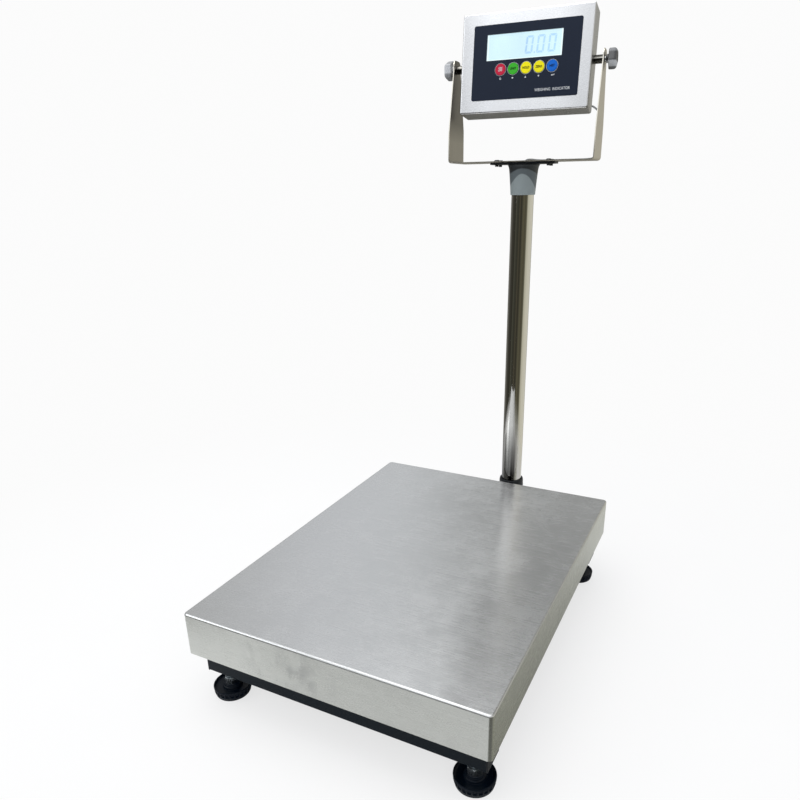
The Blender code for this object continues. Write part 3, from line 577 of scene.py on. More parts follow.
# =============================== the materials and where they go ==============================
MATERIALS = {
    "platter": brushed(
        "platter_steel", tint=(0.595, 0.605, 0.617), rough=0.24, grain="X", aniso=0.92,
        shading=platter_shading, streak=0.13, coarse_share=0.06, smudge=platter_smudge),
    "bracket": brushed(
        "bracket_steel", tint=(0.63, 0.60, 0.535), rough=0.30, grain="Z", aniso=0.6,
        shading=bracket_shading),
    "housing": brushed(
        "housing_steel", tint=(0.678, 0.684, 0.705), rough=0.26, grain="X", aniso=0.6,
        shading=housing_shading, streak=0.25, coarse_share=0.10),
    "pole": polished("column_polish", tint=(0.74, 0.725, 0.69)),
    "paint": paint("frame_paint", tint=(0.0006, 0.0046, 0.0084)),
    "black_plastic": plastic(
        "black_plastic", tint=(0.008, 0.010, 0.013), rough=0.42, specular=0.25),
    "rubber": plastic(
        "foot_rubber", tint=(0.0006, 0.0038, 0.0096), rough=0.40, grain=500.0,
        depth=0.00008, specular=0.18, edge=2.2),
    "cushion": plastic(
        "cushion_rubber", tint=(0.012, 0.012, 0.012), rough=0.7, grain=600.0,
        depth=0.0001, specular=0.3),
    "zinc": zinc("zinc_plate"),
    "dark_zinc": zinc("dark_zinc_plate", tint=(0.085, 0.09, 0.095)),
    "nut_zinc": zinc("nut_zinc_plate", tint=(0.44, 0.48, 0.50)),
    "bush": bush_steel("bush_steel", tint=(0.74, 0.72, 0.66)),
    "alloy": cast_alloy("cell_alloy"),
    "grey": flange_shadowed("grey_plastic", tint=(0.232, 0.268, 0.272), shadow_tint=(0.098, 0.118, 0.126)),
    "knob": knob_plastic("knob_plastic", tint=(0.50, 0.515, 0.535)),
    "film": film("face_film", tint=(0.0075, 0.0125, 0.026)),
    "lcd": glow("display_backlight", tint=(0.70, 0.905, 0.985), strength=1.0),
    "lcd_edge": glow("display_edge_light", tint=(0.88, 1.0, 1.0), strength=1.08),
    "digit": glow("display_segments", tint=(0.46, 0.70, 0.97), strength=1.0, mottle=0.1),
    "glass": clear("display_window"),
    "cable": plastic(
        "cable_jacket", tint=(0.40, 0.41, 0.42), rough=0.4, grain=500.0, depth=0.00004),
    "board": plastic(
        "solder_mask", tint=(0.015, 0.13, 0.06), rough=0.4, grain=1200.0, depth=0.00008),
    "battery": plastic(
        "battery_wrap", tint=(0.02, 0.02, 0.024), rough=0.35, grain=300.0, depth=0.0001),
    "white_ink": ink("white_ink", tint=(0.60, 0.62, 0.64)),
    "dark_ink": ink("dark_ink", tint=(0.004, 0.005, 0.006), specular=0.05),
    "ring_ink": ink("ring_ink", tint=(0.52, 0.55, 0.57)),
    "key_red": key_film("key_red_film", tint=(0.46, 0.010, 0.040)),
    "key_green": key_film("key_green_film", tint=(0.035, 0.37, 0.018)),
    "key_yellow": key_film("key_yellow_film", tint=(0.76, 0.68, 0.003)),
    "key_blue": key_film("key_blue_film", tint=(0.001, 0.11, 0.50)),
}


def starting(*prefixes):
    """The frame's node names that start with any of the prefixes."""
    return [name for name in NODES if name.startswith(prefixes)]


# look: the frame's nodes that wear it
LOOKS = {
    "paint": ["base_frame", "top_frame", "column_socket", "load_cell_lower_spacer",
              "load_cell_upper_spacer"],
    "black_plastic": ["socket_collar", "head_flange", "cable_gland", *starting("tube_cap")],
    "cushion": [*starting("platter_cushion"), "cover_gasket"],
    "rubber": starting("foot_pad"),
    "nut_zinc": starting("foot_stud", "foot_locknut"),
    "zinc": starting("load_cell_lower_bolt", "load_cell_upper_bolt", "knob_stud"),
    "dark_zinc": starting("bracket_screw"),
    "bush": ["spacer_bush_left", "spacer_bush_right"],
    "platter": ["platter_pan"],
    "bracket": ["indicator_bracket"],
    "housing": ["front_housing", "rear_cover"],
    "pole": ["column_tube"],
    "alloy": ["load_cell"],
    "grey": ["column_head"],
    "knob": ["tilt_knob_left", "tilt_knob_right"],
    "film": ["keypad_overlay"],
    "glass": ["lcd_window"],
    "lcd": ["lcd_panel"],
    "board": ["main_board"],
    "battery": ["battery_pack"],
    "key_red": ["key_red"],
    "key_green": ["key_green"],
    "key_yellow": ["key_yellow_left", "key_yellow_right"],
    "key_blue": ["key_blue"],
}


# =============================== shading of the frame's nodes =================================
def weld_and_smooth(limit):
    """Modifier group: welds a faceted solid and smooths edges up to limit degrees."""
    group = bpy.data.node_groups.new("weld_and_smooth", "GeometryNodeTree")
    for direction in ("INPUT", "OUTPUT"):
        group.interface.new_socket("Geometry", in_out=direction,
                                   socket_type="NodeSocketGeometry")
    start = group.nodes.new("NodeGroupInput")
    end = group.nodes.new("NodeGroupOutput")
    weld = group.nodes.new("GeometryNodeMergeByDistance")
    weld.inputs["Distance"].default_value = 0.000002
    faces = group.nodes.new("GeometryNodeSetShadeSmooth")
    faces.domain = "FACE"
    faces.inputs["Shade Smooth"].default_value = True
    angle = group.nodes.new("GeometryNodeInputMeshEdgeAngle")
    shallow = group.nodes.new("FunctionNodeCompare")
    shallow.data_type = "FLOAT"
    shallow.operation = "LESS_THAN"
    shallow.inputs[1].default_value = math.radians(limit)
    edges = group.nodes.new("GeometryNodeSetShadeSmooth")
    edges.domain = "EDGE"
    link = group.links.new
    link(start.outputs[0], weld.inputs["Geometry"])
    link(weld.outputs["Geometry"], faces.inputs["Geometry"])
    link(angle.outputs["Unsigned Angle"], shallow.inputs[0])
    link(faces.outputs["Geometry"], edges.inputs["Geometry"])
    link(shallow.outputs["Result"], edges.inputs["Shade Smooth"])
    link(edges.outputs["Geometry"], end.inputs[0])
    return group


def weight_normals(obj):
    """Keeps the shading of large flats flat."""
    modifier = obj.modifiers.new("flats", "WEIGHTED_NORMAL")
    modifier.keep_sharp = True
    modifier.weight = 80


def dress_frame():
    group = weld_and_smooth(limit=32)
    for look, names in LOOKS.items():
        for name in names:
            obj = NODES[name]
            obj.data.materials.clear()
            obj.data.materials.append(MATERIALS[look])
            obj.modifiers.new("smooth", "NODES").node_group = group
            weight_normals(obj)


# =============================== mesh helpers, in millimetres =================================
def add_piece(bm, name, look, body, place=None, sharp=32, weighted=True, replaces=None):
    """Turns a millimetre drawing into an object; edges sharper than `sharp` degrees stay hard."""
    bmesh.ops.recalc_face_normals(bm, faces=bm.faces)
    mesh = bpy.data.meshes.new(name)
    bm.to_mesh(mesh)
    bm.free()
    mesh.transform(TO_METRES)
    if place is not None:
        mesh.transform(place)
    mesh.materials.append(MATERIALS[look])
    mesh.shade_smooth()
    mesh.set_sharp_from_angle(angle=math.radians(sharp))
    obj = bpy.data.objects.new(name, mesh)
    SCENE.collection.objects.link(obj)
    if weighted:
        weight_normals(obj)
    if body:
        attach(obj, body)
    if replaces:
        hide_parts(replaces)
    return obj


def evaluated_mesh(obj):
    """A new mesh of the object as its modifiers or its text make it."""
    bpy.context.view_layer.update()
    depsgraph = bpy.context.evaluated_depsgraph_get()
    return bpy.data.meshes.new_from_object(obj.evaluated_get(depsgraph))


def extents(node):
    """Half width, half depth, bottom and top of a frame node, in millimetres."""
    low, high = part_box(node)
    return (high.x - low.x) / 2 / MM, (high.y - low.y) / 2 / MM, low.z / MM, high.z / MM


def turned(profile, sides=96, shape=None):
    """A closed profile of (radius, height) revolved about Z.
    shape(angle, radius, height) gives the radius instead, where there is one."""
    bm = bmesh.new()
    rings = []
    for radius, height in profile:
        if radius < 1e-6:
            rings.append([bm.verts.new((0, 0, height))] * sides)
            continue
        ring = []
        for i in range(sides):
            angle = math.tau * i / sides
            reach = shape(angle, radius, height) if shape else radius
            ring.append(bm.verts.new((reach * math.cos(angle), reach * math.sin(angle), height)))
        rings.append(ring)
    for ring, following in zip(rings, rings[1:] + rings[:1]):
        for i in range(sides):
            j = (i + 1) % sides
            corners = []
            for vert in (ring[i], ring[j], following[j], following[i]):
                if vert not in corners:
                    corners.append(vert)
            if len(corners) >= 3:
                bm.faces.new(corners)
    return bm


def bridge(bm, ring, following):
    """Joins two rings of equal length with quads."""
    for i in range(len(ring)):
        j = (i + 1) % len(ring)
        bm.faces.new((ring[i], ring[j], following[j], following[i]))


def rounded_rectangle(half_x, half_y, radius, segments=8):
    points = []
    for sign_x, sign_y, start in ((1, 1, 0), (-1, 1, 90), (-1, -1, 180), (1, -1, 270)):
        for i in range(segments + 1):
            angle = math.radians(start + 90 * i / segments)
            points.append((sign_x * (half_x - radius) + radius * math.cos(angle),
                           sign_y * (half_y - radius) + radius * math.sin(angle)))
    return points


def lofted(levels):
    """A capped loft through rounded rectangles of (half x, half y, corner radius, z)."""
    bm = bmesh.new()
    rings = [
        [bm.verts.new((x, y, z)) for x, y in rounded_rectangle(half_x, half_y, radius)]
        for half_x, half_y, radius, z in levels
    ]
    for ring, following in zip(rings, rings[1:]):
        bridge(bm, ring, following)
    bm.faces.new(rings[0])
    bm.faces.new(rings[-1])
    return bm


def plate(outline, y_front, y_back):
    """A thin plate in the face's plane: the outline is of (x, z)."""
    bm = bmesh.new()
    front = [bm.verts.new((x, y_front, z)) for x, z in outline]
    back = [bm.verts.new((x, y_back, z)) for x, z in outline]
    bm.faces.new(front)
    bm.faces.new(back)
    bridge(bm, front, back)
    return bm


def rectangle(left, right, bottom, top):
    return [(left, bottom), (right, bottom), (right, top), (left, top)]


def merge(parts):
    merged = bmesh.new()
    for bm in parts:
        bmesh.ops.recalc_face_normals(bm, faces=bm.faces)
        mesh = bpy.data.meshes.new("part")
        bm.to_mesh(mesh)
        bm.free()
        merged.from_mesh(mesh)
        bpy.data.meshes.remove(mesh)
    return merged


def aim(point, axis):
    """Placement at a point in metres, with the drawing's Z along the axis."""
    turn = Vector(axis).to_track_quat("Z", "Y").to_matrix().to_4x4()
    return Matrix.Translation(Vector(point)) @ turn


def hexagon(across_flats, widest, core):
    """Shape for turned(): radii from core outwards get six flats, no wider than widest(height)."""
    def shape(angle, radius, height):
        if radius < core:
            return radius
        from_corner = (angle % (math.pi / 3)) - math.pi / 6
        return min(across_flats / 2 / math.cos(from_corner), widest(height))
    return shape


# =============================== platter ======================================================
SHEET = 1.5
PLATTER_CORNER = 6.0
PLATTER_BEND = 3.2
PLATTER_INNER_BEND = 2.5
PLATTER_LIP = 0.25  # chamfer of the sheet's bottom edge


def bent_edge(half_x, half_y, corner, top, radius, steps):
    """Levels of the bend from skirt to top."""
    levels = []
    for i in range(steps + 1):
        angle = math.pi / 2 * i / steps
        inset = radius * (1 - math.cos(angle))
        levels.append((half_x - inset, half_y - inset, corner - inset * 0.9,
                       top - radius + radius * math.sin(angle)))
    return levels


def build_platter():
    half_x, half_y, bottom, top = extents("platter_pan")
    inner_x = half_x - SHEET
    inner_y = half_y - SHEET
    inner_corner = PLATTER_CORNER - SHEET
    lip = PLATTER_LIP
    outer = [
        (half_x - lip, half_y - lip, PLATTER_CORNER - lip, bottom),
        (half_x, half_y, PLATTER_CORNER, bottom + lip),
    ]
    for share in (0.33, 0.66):
        z = bottom + (top - PLATTER_BEND - bottom) * share
        outer.append((half_x, half_y, PLATTER_CORNER, z))
    outer += bent_edge(half_x, half_y, PLATTER_CORNER, top, radius=PLATTER_BEND, steps=8)
    inner = [
        (inner_x + lip, inner_y + lip, inner_corner + lip, bottom),
        (inner_x, inner_y, inner_corner, bottom + lip),
    ]
    inner += bent_edge(inner_x, inner_y, inner_corner, top - SHEET,
                       radius=PLATTER_INNER_BEND, steps=4)
    low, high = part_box("platter_pan")
    centre = (low + high) / 2
    add_piece(lofted(outer[::-1] + inner), "platter_sheet", "platter", "platter",
              Matrix.Translation((centre.x, centre.y, 0)), sharp=40, replaces="platter_pan")


# =============================== column, collar and head ======================================
def build_column_tube():
    radius, _, bottom, top = extents("column_tube")
    bore = radius - 1.5
    chamfer = 0.3
    profile = [
        (bore, bottom), (radius - chamfer, bottom), (radius, bottom + chamfer),
        (radius, 250), (radius, 420), (radius, 560),
        (radius, top - chamfer), (radius - chamfer, top), (bore, top),
    ]
    add_piece(turned(profile, sides=128), "column_polished_tube", "pole", "base", AT_POLE,
              sharp=40, replaces="column_tube")


def build_socket_collar():
    radius, _, bottom, top = extents("socket_collar")
    profile = [
        (19.5, bottom), (radius - 0.4, bottom), (radius, bottom + 0.4), (radius, top - 4.4),
        (radius - 0.15, top - 3.6), (radius - 0.6, top - 2.2), (radius - 0.7, top - 0.8),
        (radius - 1.1, top - 0.2), (radius - 1.6, top), (20.1, top), (19.5, top - 0.5),
    ]
    add_piece(turned(profile), "socket_collar_ring", "black_plastic", "base", AT_POLE,
              sharp=40, replaces="socket_collar")


def build_column_head():
    _, _, bottom, top = extents("column_head")
    foot = [
        (19.4, bottom + 0.4), (19.8, bottom), (20.3, bottom), (20.75, bottom + 0.35),
        (20.95, bottom + 1.0),
    ]
    flare = [
        (20.95 + 3.1 * share ** 1.15, bottom + 1 + 36.5 * share)
        for share in (0.1, 0.25, 0.4, 0.55, 0.7, 0.85, 1.0)
    ]
    brim = [
        (24.5, top - 7.6), (24.9, top - 5.6), (25.4, top - 3.9), (25.9, top - 2.6),
        (26.4, top - 1.8), (26.7, top - 1.2), (26.7, top - 0.3), (26.4, top),
    ]
    bore = [(10.0, top), (10.0, 706), (19.4, 706)]
    add_piece(turned(foot + flare + brim + bore), "column_head_moulding", "grey", "head",
              AT_POLE, sharp=45, replaces="column_head")


# =============================== feet =========================================================
# (radius, height) above the floor
FOOT_DISC = [
    (0, 0), (23.6, 0), (24.6, 0.5), (25.1, 1.4), (25.6, 3.4), (26.1, 5.2), (26.4, 6.3),
    (26.5, 6.6), (26.8, 8.5), (27.0, 10.5), (27.05, 12.2), (27.1, 12.7), (27.2, 13.1),
    (27.1, 14.1), (26.6, 14.8), (25.8, 15.0), (25.2, 14.7), (24.9, 14.0), (24.6, 12.9),
    (23.8, 12.0), (22.0, 11.4), (17.0, 11.0), (14.6, 11.2), (14.1, 11.8), (13.9, 13.6),
    (13.4, 14.2), (12.6, 14.4), (12.2, 14.8), (12.0, 16.2), (11.5, 16.7), (10.4, 16.9),
    (9.9, 17.3), (9.6, 18.0), (9.0, 18.4), (6.2, 18.5), (5.7, 18.1), (5.7, 7.0), (0, 7.0),
]
STUD_FOOT = [(0, 8.6), (4.6, 8.6), (5.0, 9.2), (5.0, 18.6)]
STUD_HEX = [
    (9.6, 18.6), (10.2, 18.98), (10.55, 19.2), (10.55, 27.8), (10.2, 28.02), (9.6, 28.4),
    (6.0, 28.4),
]
STUD_TIP = [(5.2, 63.3), (0, 63.3)]
DENTS = 24
DENT_DEPTH = 1.5
HEX_CORE = 8.0  # smaller radii of studs and nuts stay round


def dented_rim(angle, radius, height):
    """The disc's outer face has dents below its top lip."""
    if radius < 24.9 or height > 14.0:
        return radius
    dent = 0.0
    if 6.4 < height < 12.9:
        pitch = math.tau / DENTS
        share = (angle % pitch) / pitch
        ease = min(max((0.34 - abs(share - 0.5)) / 0.10, 0.0), 1.0)
        dent = DENT_DEPTH * ease * ease * (3 - 2 * ease)
    return radius - dent


def chamfered(corner, end_radius, bottom, top):
    """The widest radius of a hexagon whose corners are cut back to end_radius at both ends."""
    def widest(height):
        return min(corner, end_radius + (height - bottom) * 1.6,
                   end_radius + (top - height) * 1.6)
    return widest


def thread(radius, bottom, top, pitch):
    """A profile of ridges, in whole pitches from the bottom."""
    points = []
    z = bottom
    while z + pitch <= top:
        points += [
            (radius, z), (radius, z + 0.16 * pitch),
            (radius - 0.55 * pitch, z + 0.5 * pitch), (radius - 0.55 * pitch, z + 0.62 * pitch),
        ]
        z += pitch
    return points + [(radius, z)]


def foot_stud():
    threaded = thread(radius=5.95, bottom=28.7, top=62.0, pitch=1.75)
    widest = chamfered(corner=10.55, end_radius=9.6, bottom=18.6, top=28.4)
    return turned(STUD_FOOT + STUD_HEX + threaded + STUD_TIP,
                  shape=hexagon(18.2, widest, HEX_CORE))


def foot_locknut(bottom, top):
    profile = [
        (6.3, bottom), (9.4, bottom), (9.9, bottom + 0.3), (10.4, bottom + 0.55),
        (10.4, top - 0.55), (9.9, top - 0.3), (9.4, top), (6.3, top),
    ]
    widest = chamfered(corner=10.4, end_radius=9.5, bottom=bottom, top=top)
    return turned(profile, shape=hexagon(18.0, widest, HEX_CORE))


def build_feet():
    for i, (corner, point) in enumerate(FEET.items()):
        here = Matrix.Translation((point.x, point.y, 0))
        add_piece(turned(FOOT_DISC, sides=192, shape=dented_rim), f"foot_disc_{corner}",
                  "rubber", f"foot_pad_{corner}", here, sharp=38,
                  replaces=f"foot_pad_{corner}")
        # each stud stands at a different turn
        stud_turn = Matrix.Rotation(math.radians(10 + 37 * i), 4, "Z")
        add_piece(foot_stud(), f"foot_stud_threaded_{corner}", "nut_zinc",
                  f"foot_stud_{corner}", here @ stud_turn, sharp=34,
                  replaces=f"foot_stud_{corner}")
        _, _, bottom, top = extents(f"foot_locknut_{corner}")
        add_piece(foot_locknut(bottom, top), f"foot_nut_{corner}", "nut_zinc", "base",
                  here @ Matrix.Rotation(0.4, 4, "Z"), sharp=34,
                  replaces=f"foot_locknut_{corner}")


# =============================== knobs ========================================================
KNOB_REACH = 122.6  # from the pivot along the axle
KNOB_BACK = 4.4  # where the grip starts, outwards from the knob's foot
KNOB_DEPTH = 16.9
KNOB_PROFILE = [
    (3.9, 0), (5.9, 0), (6.2, 0.3), (6.2, KNOB_BACK - 0.1), (11.4, KNOB_BACK),
    (13.6, KNOB_BACK + 0.1), (14.6, KNOB_BACK + 0.5), (15.05, KNOB_BACK + 1.1),
    (15.2, KNOB_BACK + 2.4), (15.3, KNOB_BACK + 7.4), (15.1, KNOB_BACK + 8.9),
    (14.6, KNOB_BACK + 10.1), (13.7, KNOB_BACK + 11.2), (12.3, KNOB_BACK + 12.0),
    (10.6, KNOB_BACK + 12.4), (9.6, KNOB_DEPTH), (8.7, KNOB_DEPTH - 0.35),
    (8.2, KNOB_DEPTH - 0.8), (0, KNOB_DEPTH - 0.9), (0, 12.5), (3.9, 12.5),
]


def five_sided(angle, radius, height):
    """A five-sided hand grip with rounded corners."""
    if radius < 9.0:
        return radius
    pitch = math.tau / 5
    share = (angle / pitch + 0.5) % 1 - 0.5
    side = (radius + 0.9) * math.cos(pitch / 2) / math.cos(pitch / 2 - abs(share) * pitch)
    corner = radius + 0.1
    sharpness = 6.0  # of the meeting of side and corner
    return -math.log(math.exp(-sharpness * side) + math.exp(-sharpness * corner)) / sharpness


def build_knobs():
    for side, sign, roll in (("left", -1, 31.0), ("right", 1, 52.0)):
        place = aim(PIVOT + AXLE * sign * KNOB_REACH * MM, AXLE * sign)
        add_piece(turned(KNOB_PROFILE, sides=160, shape=five_sided),
                  f"tilt_knob_grip_{side}", "knob", f"tilt_knob_{side}",
                  place @ Matrix.Rotation(math.radians(roll), 4, "Z"), sharp=42,
                  replaces=f"tilt_knob_{side}")


# =============================== display: digits, light edges, inks ===========================
# Drawn on the display unit: x to its right, y to its back, z up, from the tilt pivot
CASE_HALF_DEPTH = 24.0
FILM_FACE = -CASE_HALF_DEPTH - 0.9
KEY_FACE = -CASE_HALF_DEPTH - 2.16
TITLE_FACE = -CASE_HALF_DEPTH - 0.97

DIGIT_X = (5.75, 23.8, 41.7)
DIGIT_BOTTOM = 10.0
DIGIT_TOP = 35.3
DIGIT_WIDTH = 12.0
DIGIT_SLANT = 0.08
BAR = 2.9
BAR_GAP = 0.35
BAR_CUT = 0.5  # cut off a bar's outer corner
BAR_WAIST = 0.9  # from mid height to where a side bar starts to narrow
DECIMAL_POINT = [(13.1, 10.0), (15.3, 10.0), (15.5, 12.2), (13.3, 12.2)]
DIGIT_LAYER = (-CASE_HALF_DEPTH + 1.75, -CASE_HALF_DEPTH + 1.95)
LIGHT_LAYER = (-CASE_HALF_DEPTH + 1.6, -CASE_HALF_DEPTH + 1.9)
# side: (left, right, bottom, top)
LIGHT_EDGES = {
    "left": (-62.2, -60.4, 3.4, 40.6),
    "right": (55.8, 57.8, 3.4, 40.6),
    "bottom": (-60.3, 55.7, 3.4, 4.9),
}

KEY_Z = -10.7
KEY_PITCH = 20.75
KEY_X = {
    key: -38.2 + KEY_PITCH * i
    for i, key in enumerate(("red", "green", "yellow_left", "yellow_right", "blue"))
}
KEY_RING = [(8.93, 0), (9.3, 0), (9.3, 0.12), (8.93, 0.12)]
MARK_Z = -23.9


def nought(centre_x):
    """The outlines of the six lit segments of a nought, bars with mitred ends."""
    left, right = centre_x - DIGIT_WIDTH / 2, centre_x + DIGIT_WIDTH / 2
    middle = (DIGIT_BOTTOM + DIGIT_TOP) / 2
    outer = BAR_GAP + BAR_CUT
    inner = BAR_GAP + BAR
    bars = [
        [(left + outer, DIGIT_TOP), (right - outer, DIGIT_TOP),
         (right - inner, DIGIT_TOP - BAR), (left + inner, DIGIT_TOP - BAR)],
        [(left + inner, DIGIT_BOTTOM + BAR), (right - inner, DIGIT_BOTTOM + BAR),
         (right - outer, DIGIT_BOTTOM), (left + outer, DIGIT_BOTTOM)],
    ]
    for x, inward in ((left, 1), (right, -1)):
        for end, up in ((DIGIT_TOP, 1), (DIGIT_BOTTOM, -1)):
            bars.append([
                (x, end - up * outer),
                (x + inward * BAR, end - up * inner),
                (x + inward * BAR, middle + up * BAR_WAIST),
                (x + inward * BAR * 0.5, middle + up * (BAR_GAP + 0.15)),
                (x, middle + up * BAR_WAIST),
            ])
    return [[(x + (z - middle) * DIGIT_SLANT, z) for x, z in bar] for bar in bars]


def build_digits():
    outlines = [bar for x in DIGIT_X for bar in nought(x)] + [DECIMAL_POINT]
    add_piece(merge([plate(outline, *DIGIT_LAYER) for outline in outlines]),
              "display_digits", "digit", "indicator", CASE, sharp=30, weighted=False)
    for side, edges in LIGHT_EDGES.items():
        add_piece(plate(rectangle(*edges), *LIGHT_LAYER), f"display_light_edge_{side}",
                  "lcd_edge", "indicator", CASE, sharp=30, weighted=False)


def on_film(x, z):
    return CASE @ Matrix.Translation((x * MM, FILM_FACE * MM, z * MM))


def build_key_rings():
    for key, x in KEY_X.items():
        add_piece(turned(KEY_RING, sides=64), f"key_ring_{key}", "ring_ink", "indicator",
                  on_film(x, KEY_Z) @ UPRIGHT, sharp=30, weighted=False)


def add_words(text, name, look, body, at, size, bold, squeeze):
    """Raised ink lettering, centred on at's x and standing on its z; squeeze narrows it."""
    curve = bpy.data.curves.new(name, "FONT")
    curve.body = text
    curve.size = size
    curve.align_x = "CENTER"
    curve.offset = bold
    curve.extrude = 0.03
    curve.resolution_u = 3
    curve.space_line = 0.85
    lettering = bpy.data.objects.new(name + "_tmp", curve)
    SCENE.collection.objects.link(lettering)
    mesh = evaluated_mesh(lettering)
    bpy.data.objects.remove(lettering, do_unlink=True)
    mesh.name = name
    mesh.transform(Matrix.Diagonal((squeeze, 1, 1, 1)))
    mesh.transform(CASE @ TO_METRES @ Matrix.Translation(at) @ UPRIGHT)
    mesh.materials.clear()
    mesh.materials.append(MATERIALS[look])
    obj = bpy.data.objects.new(name, mesh)
    SCENE.collection.objects.link(obj)
    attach(obj, body)


def build_legends():
    add_words("ON\nOFF", "legend_on_off", "white_ink", "key_red",
              at=(KEY_X["red"], KEY_FACE, KEY_Z + 0.6), size=4.1, bold=0.06, squeeze=0.95)
    for text, key, size, squeeze in (
        ("UNIT", "green", 4.7, 0.93),
        ("HOLD", "yellow_left", 4.6, 0.88),
        ("ZERO", "yellow_right", 4.6, 0.88),
        ("NET", "blue", 4.7, 0.93),
    ):
        add_words(text, f"legend_{text.lower()}", "dark_ink", f"key_{key}",
                  at=(KEY_X[key], KEY_FACE, KEY_Z - 1.6), size=size, bold=0.14,
                  squeeze=squeeze)
    capital_height = 4.1
    add_words("WEIGHING  INDICATOR", "legend_weighing_indicator", "white_ink", "indicator",
              at=(47.2, TITLE_FACE, -45.8), size=capital_height / 0.7, bold=0.02,
              squeeze=0.86)


def build_key_marks():
    """The small signs below the keys."""
    flat = Matrix.Identity(4)
    ring = [(1.0, 0), (1.55, 0), (1.55, 0.08), (1.0, 0.08)]
    square = rectangle(-1.1, 1.1, -0.9, 0.9)
    up = [(-1.5, -1.1), (1.5, -1.1), (0, 1.5)]
    down = [(-1.4, 1.3), (0, -1.6), (1.4, 1.3)]
    arrow_head = [(-2.6, 0), (-0.4, 1.5), (-0.4, -1.5)]
    arrow_tail = [(-0.6, -0.35), (2.6, -0.35), (2.6, 1.7), (1.9, 1.7), (1.9, 0.35), (-0.6, 0.35)]
    # the tail lies a little proud of the head
    arrow = [plate(arrow_head, -0.08, 0), plate(arrow_tail, -0.085, -0.005)]
    for key, x, parts, turn in (
        ("red", -37.8, [turned(ring, sides=32)], UPRIGHT),
        ("green", -17.7, [plate(square, -0.08, 0)], flat),
        ("yellow_left", 3.2, [plate(up, -0.08, 0)], flat),
        ("yellow_right", 24.1, [plate(down, -0.08, 0)], flat),
        ("blue", 46.4, arrow, flat),
    ):
        add_piece(merge(parts), f"key_mark_{key}", "white_ink", "indicator",
                  on_film(x, MARK_Z) @ turn, sharp=30, weighted=False)


# =============================== fasteners the solids leave out ===============================
SCREW_RADIUS = 3.3
SCREW_TALL = 1.7
SCREW_PROFILE = [
    (0, -1.6), (SCREW_RADIUS * 0.55, -1.6), (SCREW_RADIUS * 0.55, 0.02),
    (SCREW_RADIUS * 0.94, 0.02), (SCREW_RADIUS, 0.25),
    (SCREW_RADIUS * 0.97, SCREW_TALL * 0.45), (SCREW_RADIUS * 0.8, SCREW_TALL * 0.8),
    (SCREW_RADIUS * 0.55, SCREW_TALL * 0.96), (0, SCREW_TALL),
]
CROSS_SLOTS = ((3.8, 0.84, 2.2), (0.84, 3.8, 2.2))  # sizes along x, y and z
# (x, z) on the back of the display unit
COVER_SCREWS = [(-92, -60), (-92, 60), (92, -60), (92, 60), (0, 60), (0, -60)]

BOLT_HALF_FLATS = 6.5
BOLT_CORNER = BOLT_HALF_FLATS / math.cos(math.pi / 6)
BOLT_TALL = 5.3
BOLT_PROFILE = [
    (0, 0), (BOLT_HALF_FLATS * 0.98, 0), (BOLT_CORNER, 0.02), (BOLT_CORNER, BOLT_TALL - 0.7),
    (BOLT_CORNER * 0.97, BOLT_TALL - 0.35), (BOLT_HALF_FLATS + 0.05, BOLT_TALL),
    (BOLT_HALF_FLATS - 0.6, BOLT_TALL + 0.02), (0, BOLT_TALL + 0.02),
]
WASHER = [(0, -1.6), (7.6, -1.6), (7.8, -1.4), (7.8, -0.25), (7.6, -0.05), (0, -0.05)]
BOLT_STANDOFF = 0.0017  # metres, room for the washer


def cut_slot(obj, name, size, place):
    """Cuts a box, centred on the top of the screw head, out of the mesh."""
    bm = bmesh.new()
    bmesh.ops.create_cube(bm, size=1)
    bmesh.ops.scale(bm, vec=size, verts=bm.verts)
    bmesh.ops.translate(bm, vec=(0, 0, SCREW_TALL), verts=bm.verts)
    mesh = bpy.data.meshes.new(name)
    bm.to_mesh(mesh)
    bm.free()
    mesh.transform(TO_METRES)
    mesh.transform(place)
    tool = bpy.data.objects.new(name, mesh)
    SCENE.collection.objects.link(tool)
    modifier = obj.modifiers.new("drive", "BOOLEAN")
    modifier.object = tool
    modifier.operation = "DIFFERENCE"
    modifier.solver = "EXACT"
    cut = evaluated_mesh(obj)
    obj.modifiers.remove(modifier)
    obj.data = cut
    bpy.data.objects.remove(tool, do_unlink=True)


def build_cover_screws():
    backwards = CASE.to_3x3() @ Vector((0, 1, 0))
    for i, (x, z) in enumerate(COVER_SCREWS):
        name = f"cover_screw_{i + 1}"
        place = aim(CASE @ (Vector((x, CASE_HALF_DEPTH, z)) * MM), backwards)
        screw = add_piece(turned(SCREW_PROFILE, sides=40), name, "zinc", "indicator", place,
                          sharp=40, weighted=False)
        for j, size in enumerate(CROSS_SLOTS):
            cut_slot(screw, f"{name}_cut_{j}", size, place)
        weight_normals(screw)


def add_bolt(name, point, turn):
    """A hexagon head with its washer, facing the rear."""
    def widest(height):
        return min(BOLT_CORNER, BOLT_HALF_FLATS + 0.1 + (BOLT_TALL - height) * 1.7)
    shape = hexagon(2 * BOLT_HALF_FLATS, widest, core=BOLT_HALF_FLATS * 0.99)
    head = turned(BOLT_PROFILE, sides=72, shape=shape)
    add_piece(merge([head, turned(WASHER, sides=64)]), name, "zinc", "base",
              aim(point, (0, 1, 0)) @ Matrix.Rotation(turn, 4, "Z"), sharp=34)


def build_column_bolts():
    plate_back = FEET["rear_left"].y + 0.020 + 0.0053
    for side, sign in (("left", -1), ("right", 1)):
        add_bolt(f"socket_bolt_{side}",
                 (POLE.x + sign * 0.030, plate_back + BOLT_STANDOFF, 0.065), turn=0.3 * sign)
    add_bolt("column_clamp_bolt", (POLE.x, POLE.y + 0.0235 + BOLT_STANDOFF, 0.092), turn=0.2)


